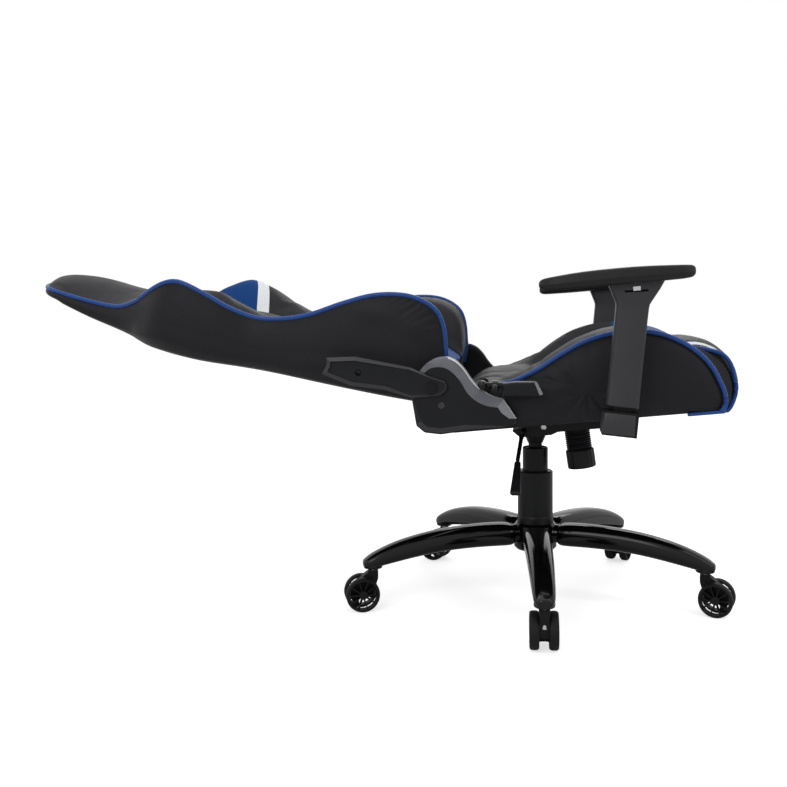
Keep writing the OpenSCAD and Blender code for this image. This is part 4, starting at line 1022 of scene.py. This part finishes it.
class CHAIR_OT_armrests(bpy.types.Operator):
    """Height-adjustable armrests: flared uprights, feet and foam pads"""
    bl_idname = "chair.armrests"
    bl_label = "Armrests"

    def execute(self, context):
        for side, word in ((-1, "right"), (1, "left")):
            # Upright: rounded sections up the post, which flare into the pad's seat.
            z = np.array([0, 1.5, 30, 90, 150, 170, 176, 184, 200, 213])
            front = np.array([26, 27.5, 27.5, 27.5, 27.5, 27.8, 28.5, 33, 43, 50.0])
            rear = np.array([-26, -27.5, -27.5, -27.5, -27.5, -27.6, -28, -31, -38, -43.5])
            half = np.array([16, 17.2, 17.2, 17, 17, 17, 17.2, 17.5, 17.8, 18])
            ring = []
            for up, f, r, y in zip(z, front, rear, half):
                tilt = math.tan(math.radians(10.6)) * np.clip((up - 150) / 63, 0, 1)
                # The outer faces are slightly crowned below the flare.
                full, mid = y + 1.8 * np.clip((176 - up) / 30, 0, 1), (r + f) / 2
                x, y = rounded([(r, -y), (mid, -full), (f, -y), (f, y), (mid, full), (r, y)], 8, 6).T
                ring.append(in_arm(x, y, up + x * tilt, side))
            rings = np.array(ring)
            piece(f"arm_post_{word}", rings, capped_faces(*rings.shape[:2]), f"arm_{word}", "textured",
                  "moulded_black", smooth=32, replaces=[f"arm_upright_{word}"])
            # Slot below the pad, in which the pad's lock runs: a near-black sheet just proud of the face,
            # painted shade for the slot's hollow.
            face = ARM_APART + POST_HALF
            tray(f"arm_slot_shade_{word}", [(153, 619.5), (193, 621.5), (193, 625), (153, 623)], 1.6,
                 [(0, face - 2), (0, face + 0.2), (0.8, face + 0.3)], side, f"arm_{word}", "pitch",
                 "moulded_black")
            # Foot: the sleeve that the upright slides in.
            outline = rounded([(-29, -20), (-1, -21.5), (27.5, -20), (27.5, 20), (-1, 21.5), (-29, 20)], 6)
            ring = []
            for d, up in ((3, -47.6), (1, -47.2), (0, -45.5), (0, -13.6), (0.8, -11.8), (2.5, -11.2)):
                x, y = inset(outline, d).T
                # It widens slightly downwards.
                ring.append(in_arm(x * (1 + 0.0016 * (-10 - up)) - 2.4, y, up, side))
            rings = np.array(ring)
            piece(f"arm_foot_{word}", rings, capped_faces(*rings.shape[:2]), "seat", "textured", "cast_black",
                  smooth=32)
            # Pad: sections along its length, flat below and crowned above, with full ends.
            x = np.array([8.5, 9.5, 12, 17, 25, 45, 80, 140, 190, 230, 252, 264, 269, 271.5])
            top = line([(8.5, 637), (10, 640), (17, 643.5), (45, 649), (98, 657.5), (186, 664.5), (240, 666),
                        (262, 666.5), (268, 665.5), (271.5, 661)], x)
            base = line([(8.5, 630), (10, 627), (17, 624), (45, 625.5), (96, 629), (220, 641), (262, 645),
                         (268, 647), (271.5, 652)], x)
            wide = line([(8.5, 20), (12, 28), (17, 33), (30, 40), (70, 45), (150, 46), (220, 44), (252, 37),
                         (266, 30), (271.5, 22)], x)
            # Section: an undercut flank, a crisp edge, a steep shoulder above it, and a nearly flat top.
            half = np.array([(0, 1.0), (0.45, 0.995), (0.84, 0.97), (0.9, 0.94), (0.93, 0.87), (0.985, 0.46),
                             (1, 0.385), (0.985, 0.34), (0.91, 0.06), (0.86, 0.01), (0.4, 0)])
            shape = np.concatenate([half, (half * (-1, 1))[:0:-1]])
            ring = through(section_rows(x, [(k * wide, base + v * (top - base)) for k, v in shape]), 5)
            rings = np.stack(np.broadcast_arrays(
                x[:, None], side * ARM_APART + ring[..., 0], ring[..., 1]), -1)
            pad = shell(f"arm_cushion_{word}", shut(rings, 0.6, 3), f"pad_{word}", "skin_foam",
                        "pad_black", replaces=[f"arm_pad_{word}"])
            subdivided(pad)
            repaint(f"arm_bracket_{word}", "powder")
            repaint(f"arm_button_{word}", "zinc")
        return {"FINISHED"}


# ---- base, column and mechanism ----
LEG_TOP = [(50, 153), (100, 155), (198, 149), (260, 138), (305, 125), (340, 110), (356, 102)]
# Direction of the first leg in degrees; the others follow at fifths of a turn.
FIRST_LEG, LEG_TURN = -87, 72
LEG_LOW = [(50, 108), (120, 109), (198, 106), (278, 93.5), (326, 84), (356, 79)]


class CHAIR_OT_base(bpy.types.Operator):
    """Five enamelled legs with their necks and end caps, the hub and the casters"""
    bl_idname = "chair.base"
    bl_label = "Base"

    def execute(self, context):
        r = np.array([50, 51.5, 55, 62, 80, 110, 150, 198, 240, 278, 305, 326, 340, 350, 356, 358.5])
        top, low = line(LEG_TOP, r), line(LEG_LOW, r)
        ends = line([(50, 0.7), (51.5, 0.82), (55, 0.93), (62, 0.99), (80, 1), (330, 1), (345, 0.95),
                     (354, 0.82), (358.5, 0.6)], r)
        wide = line([(50, 29), (100, 28), (200, 25), (300, 21.5), (358.5, 19)], r) * ends
        middle, tall = (top + low) / 2, (top - low) / 2 * ends
        a = np.linspace(0, 2 * np.pi, 32, endpoint=False)
        power = lambda v, p: np.sign(v) * np.abs(v) ** p
        y = wide[:, None] * power(np.cos(a), 0.75)
        z = middle[:, None] + tall[:, None] * np.where(np.sin(a) > 0, power(np.sin(a), 0.85),
                                                      power(np.sin(a), 0.6))
        form = np.stack([np.broadcast_to(r[:, None], y.shape), y, z], -1)
        form = shut(form, 1.5, 3)
        neck = np.stack([np.linspace(30, 56, 5), np.zeros(5), np.full(5, 131)], 1)
        neck = shut(tube_rings(neck, np.array([20, 20, 18.5, 18.5, 18.5]), 24), 1, 2)
        stem = np.array([(0, 80), (17.5, 80), (19, 82), (19, 88), (17, 96), (12, 102.5), (6, 105.5),
                         (0, 106.5)])
        t = np.linspace(0, 2 * np.pi, 24, endpoint=False)
        cap = np.stack([340 + stem[:, :1] * np.cos(t), stem[:, :1] * np.sin(t),
                        np.broadcast_to(stem[:, 1:], (len(stem), 24))], -1)
        for k in range(1, 6):
            turn = math.radians(FIRST_LEG + LEG_TURN * (k - 1))
            sin, cos = math.sin(turn), math.cos(turn)
            points, faces = merged((form, neck, cap))
            x, y, z = points.T
            points = np.stack([x * cos - y * sin, x * sin + y * cos, z], -1)
            subdivided(piece(f"leg_{k}", points, faces, "base", "enamel", "base_paint",
                             replaces=[f"base_leg_{k}"]))
            repaint(f"caster_{k}_housing", "nylon")
            repaint(f"caster_{k}_wheels", "tread")
            repaint(f"caster_{k}_pins", "zinc")
        repaint("base_hub", "enamel")
        return {"FINISHED"}


class CHAIR_OT_column(bpy.types.Operator):
    """Gas column, rocking mechanism, tension knob and height lever"""
    bl_idname = "chair.column"
    bl_label = "Column and mechanism"

    def execute(self, context):
        for node, name in (("column_tube", "powder"), ("column_cover", "moulded"), ("guide_bush", "nylon"),
                           ("piston_rod", "zinc"), ("lift_cylinder", "powder"), ("mech_housing", "powder"),
                           ("tilt_axle", "powder"), ("tilt_spring", "zinc"),
                           ("lift_lever_rod", "powder"), ("lift_lever_paddle", "moulded"),
                           ("seat_plate", "powder"), ("seat_board", "dust_cloth")):
            repaint(node, name)
        # Tension knob: a ringed neck above a fluted cap, which is hollow below.
        centre, axis = pivot_of("tension_turn"), np.array(JOINTS["tension_turn"]["axis"])
        axis = axis * np.sign(axis[2])
        low = -(centre[2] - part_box("tension_knob")[0][2] / MM) / axis[2] + 4
        down = np.linspace(0, -0.53, 57)
        neck = np.stack([25.6 + 0.9 * np.cos(down / 0.53 * 10 * 2 * np.pi), -down * low], 1)
        cap = [(26, 0.54), (28.2, 0.55), (28.8, 0.57), (28.8, 0.96), (28.2, 0.99), (26.5, 1.0), (24, 1.0),
               (23.5, 0.97), (23.5, 0.9), (0, 0.9)]
        profile = np.concatenate([[(0, 0)], neck, [(r, k * low) for r, k in cap]])
        flutes, count = 18, 108
        rings = lathe(profile, centre, axis, count)
        turn = np.cos(np.linspace(0, 2 * np.pi, count, endpoint=False) * flutes)
        grip = ((profile[:, 0] > 27.5) * 0.8)[:, None] * np.minimum(turn, 0.2)
        outward = rings - (centre + profile[:, 1:] * axis)[:, None]
        length = np.maximum(np.linalg.norm(outward, axis=2, keepdims=True), 1e-6)
        rings = rings + outward / length * grip[..., None]
        shell("knob_cap", rings, "knob", "moulded", "moulded_black", smooth=38, replaces=["tension_knob"])
        # Hexagon screw in the side of the housing.
        hexagon = [(17 + 6.2 * math.cos(math.radians(t)), 354.5 + 6.2 * math.sin(math.radians(t)))
                   for t in range(0, 360, 60)]
        wall = -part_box("mech_housing")[0][1] / MM
        tray("housing_screw", hexagon, 0.8, [
            (0, wall - 1), (0, wall + 4), (0.9, wall + 4.8), (2.2, wall + 4.9), (2.6, wall + 4.2)],
            -1, "lift", "zinc", "bare_steel", smooth=25)
        return {"FINISHED"}


class CHAIR_OT_stage(bpy.types.Operator):
    """Floor, lamps and camera"""
    bl_idname = "chair.stage"
    bl_label = "Stage"

    def execute(self, context):
        s = context.scene.chair_studio
        scene = context.scene
        scene.view_settings.view_transform = "Standard"
        cam = linked("Camera", bpy.data.cameras.new("Camera"))
        cam.data.sensor_width = 36
        cam.data.lens = s.lens
        cam.data.shift_x, cam.data.shift_y = s.shift
        cam.location = s.camera_place
        cam.rotation_euler = (math.pi / 2, 0, s.camera_turn)
        scene.camera = cam
        mesh = bpy.data.meshes.new("floor")
        mesh.from_pydata([(-9, -9, 0), (9, -9, 0), (9, 9, 0), (-9, 9, 0)], [], [(0, 1, 2, 3)])
        floor = linked("floor", mesh)
        paper = bpy.data.materials.new("studio_paper_white")
        paper.use_nodes = True
        tree = paper.node_tree
        seen = add(tree, "ShaderNodeLightPath")
        matt = tree.nodes["Principled BSDF"]
        for key, value in (("Base Color", (0.9, 0.9, 0.9, 1)), ("Roughness", 0.9), ("Specular IOR Level", 0)):
            matt.inputs[key].default_value = value
        # What the camera sees of the floor also glows, so that it comes out white.
        glow = add(tree, "ShaderNodeEmission",
                   {"Strength": seen.outputs["Is Camera Ray"], "Color": (0.62, 0.62, 0.62, 1)})
        both = add(tree, "ShaderNodeAddShader", {0: matt.outputs[0], 1: glow.outputs[0]})
        tree.links.new(both.outputs[0], tree.nodes["Material Output"].inputs["Surface"])
        floor.data.materials.append(paper)
        world = bpy.data.worlds.new("studio")
        scene.world = world
        world.use_nodes = True
        tree = world.node_tree
        sky = tree.nodes["Background"]
        seen = add(tree, "ShaderNodeLightPath")
        any_one = add(tree, "ShaderNodeMath", operation="MAXIMUM",
                      inputs={0: seen.outputs["Is Camera Ray"], 1: seen.outputs["Is Glossy Ray"]})
        shown = add(tree, "ShaderNodeMath", {0: any_one.outputs[0], 1: seen.outputs["Is Transmission Ray"]},
                    operation="MAXIMUM")
        white = add(tree, "ShaderNodeBackground", {"Color": (1, 1, 1, 1), "Strength": 1.0})
        sky.inputs["Color"].default_value = (1, 1, 1, 1)
        sky.inputs["Strength"].default_value = 0.5
        mix = add(tree, "ShaderNodeMixShader", {0: shown.outputs[0], 1: sky.outputs[0], 2: white.outputs[0]})
        tree.links.new(mix.outputs[0], tree.nodes["World Output"].inputs["Surface"])
        # A soft box overhead, a front fill, two strips that draw the streaks along gloss edges, and a light
        # from behind that picks out the outline. Each has a place and a size in metres, and a power in watts.
        for name, place, size, power in (
                ("overhead", (-0.2, -0.2, 3.0), (2.4, 2.4), 25),
                ("front", (-1.2, -3.0, 1.9), (1.6, 1.6), 28),
                ("strip_left", (-1.9, -0.5, 2.1), (0.12, 2.6), 7),
                ("strip_right", (1.7, -0.9, 2.0), (0.12, 2.6), 14),
                ("rim", (0.3, 2.6, 2.2), (2.0, 1.0), 16)):
            data = bpy.data.lights.new(name, "AREA")
            data.shape = "RECTANGLE"
            data.size, data.size_y, data.energy = *size, power
            lamp = linked(name, data)
            lamp.location = place
            way = Vector((-0.2, 0, 0.45)) - Vector(place)
            lamp.rotation_euler = way.to_track_quat("-Z", "Y").to_euler()
        return {"FINISHED"}


class CHAIR_PT_parts(bpy.types.Panel):
    """Lists the chair's pieces and settings"""
    bl_idname = "CHAIR_PT_parts"
    bl_label = "Gaming chair"
    bl_space_type = "VIEW_3D"
    bl_region_type = "UI"
    bl_category = "Chair"

    def draw(self, context):
        for made in OPERATORS:
            self.layout.operator(made.bl_idname)
        for group in ("chair_colours", "chair_sewing", "chair_studio"):
            settings = getattr(context.scene, group)
            for key in settings.bl_rna.properties.keys():
                if key not in ("rna_type", "name"):
                    self.layout.prop(settings, key)


OPERATORS = (CHAIR_OT_stage, CHAIR_OT_base, CHAIR_OT_column, CHAIR_OT_seat_cushions, CHAIR_OT_seat_piping,
             CHAIR_OT_back_cover, CHAIR_OT_back_cushions, CHAIR_OT_back_piping, CHAIR_OT_hinges,
             CHAIR_OT_recline_lever, CHAIR_OT_armrests)
GROUPS = (("chair_colours", ChairColours), ("chair_sewing", ChairSewing), ("chair_studio", ChairStudio))
CLASSES = tuple(g for _, g in GROUPS) + OPERATORS + (CHAIR_PT_parts,)


def register():
    for cls in CLASSES:
        bpy.utils.register_class(cls)
    for key, group in GROUPS:
        setattr(bpy.types.Scene, key, bpy.props.PointerProperty(type=group))


def unregister():
    for key, _ in GROUPS:
        delattr(bpy.types.Scene, key)
    for cls in reversed(CLASSES):
        bpy.utils.unregister_class(cls)


def main():
    register()
    make_finishes()
    for made in OPERATORS:
        group, name = made.bl_idname.split(".")
        getattr(getattr(bpy.ops, group), name)()


if __name__ == "__main__":
    main()
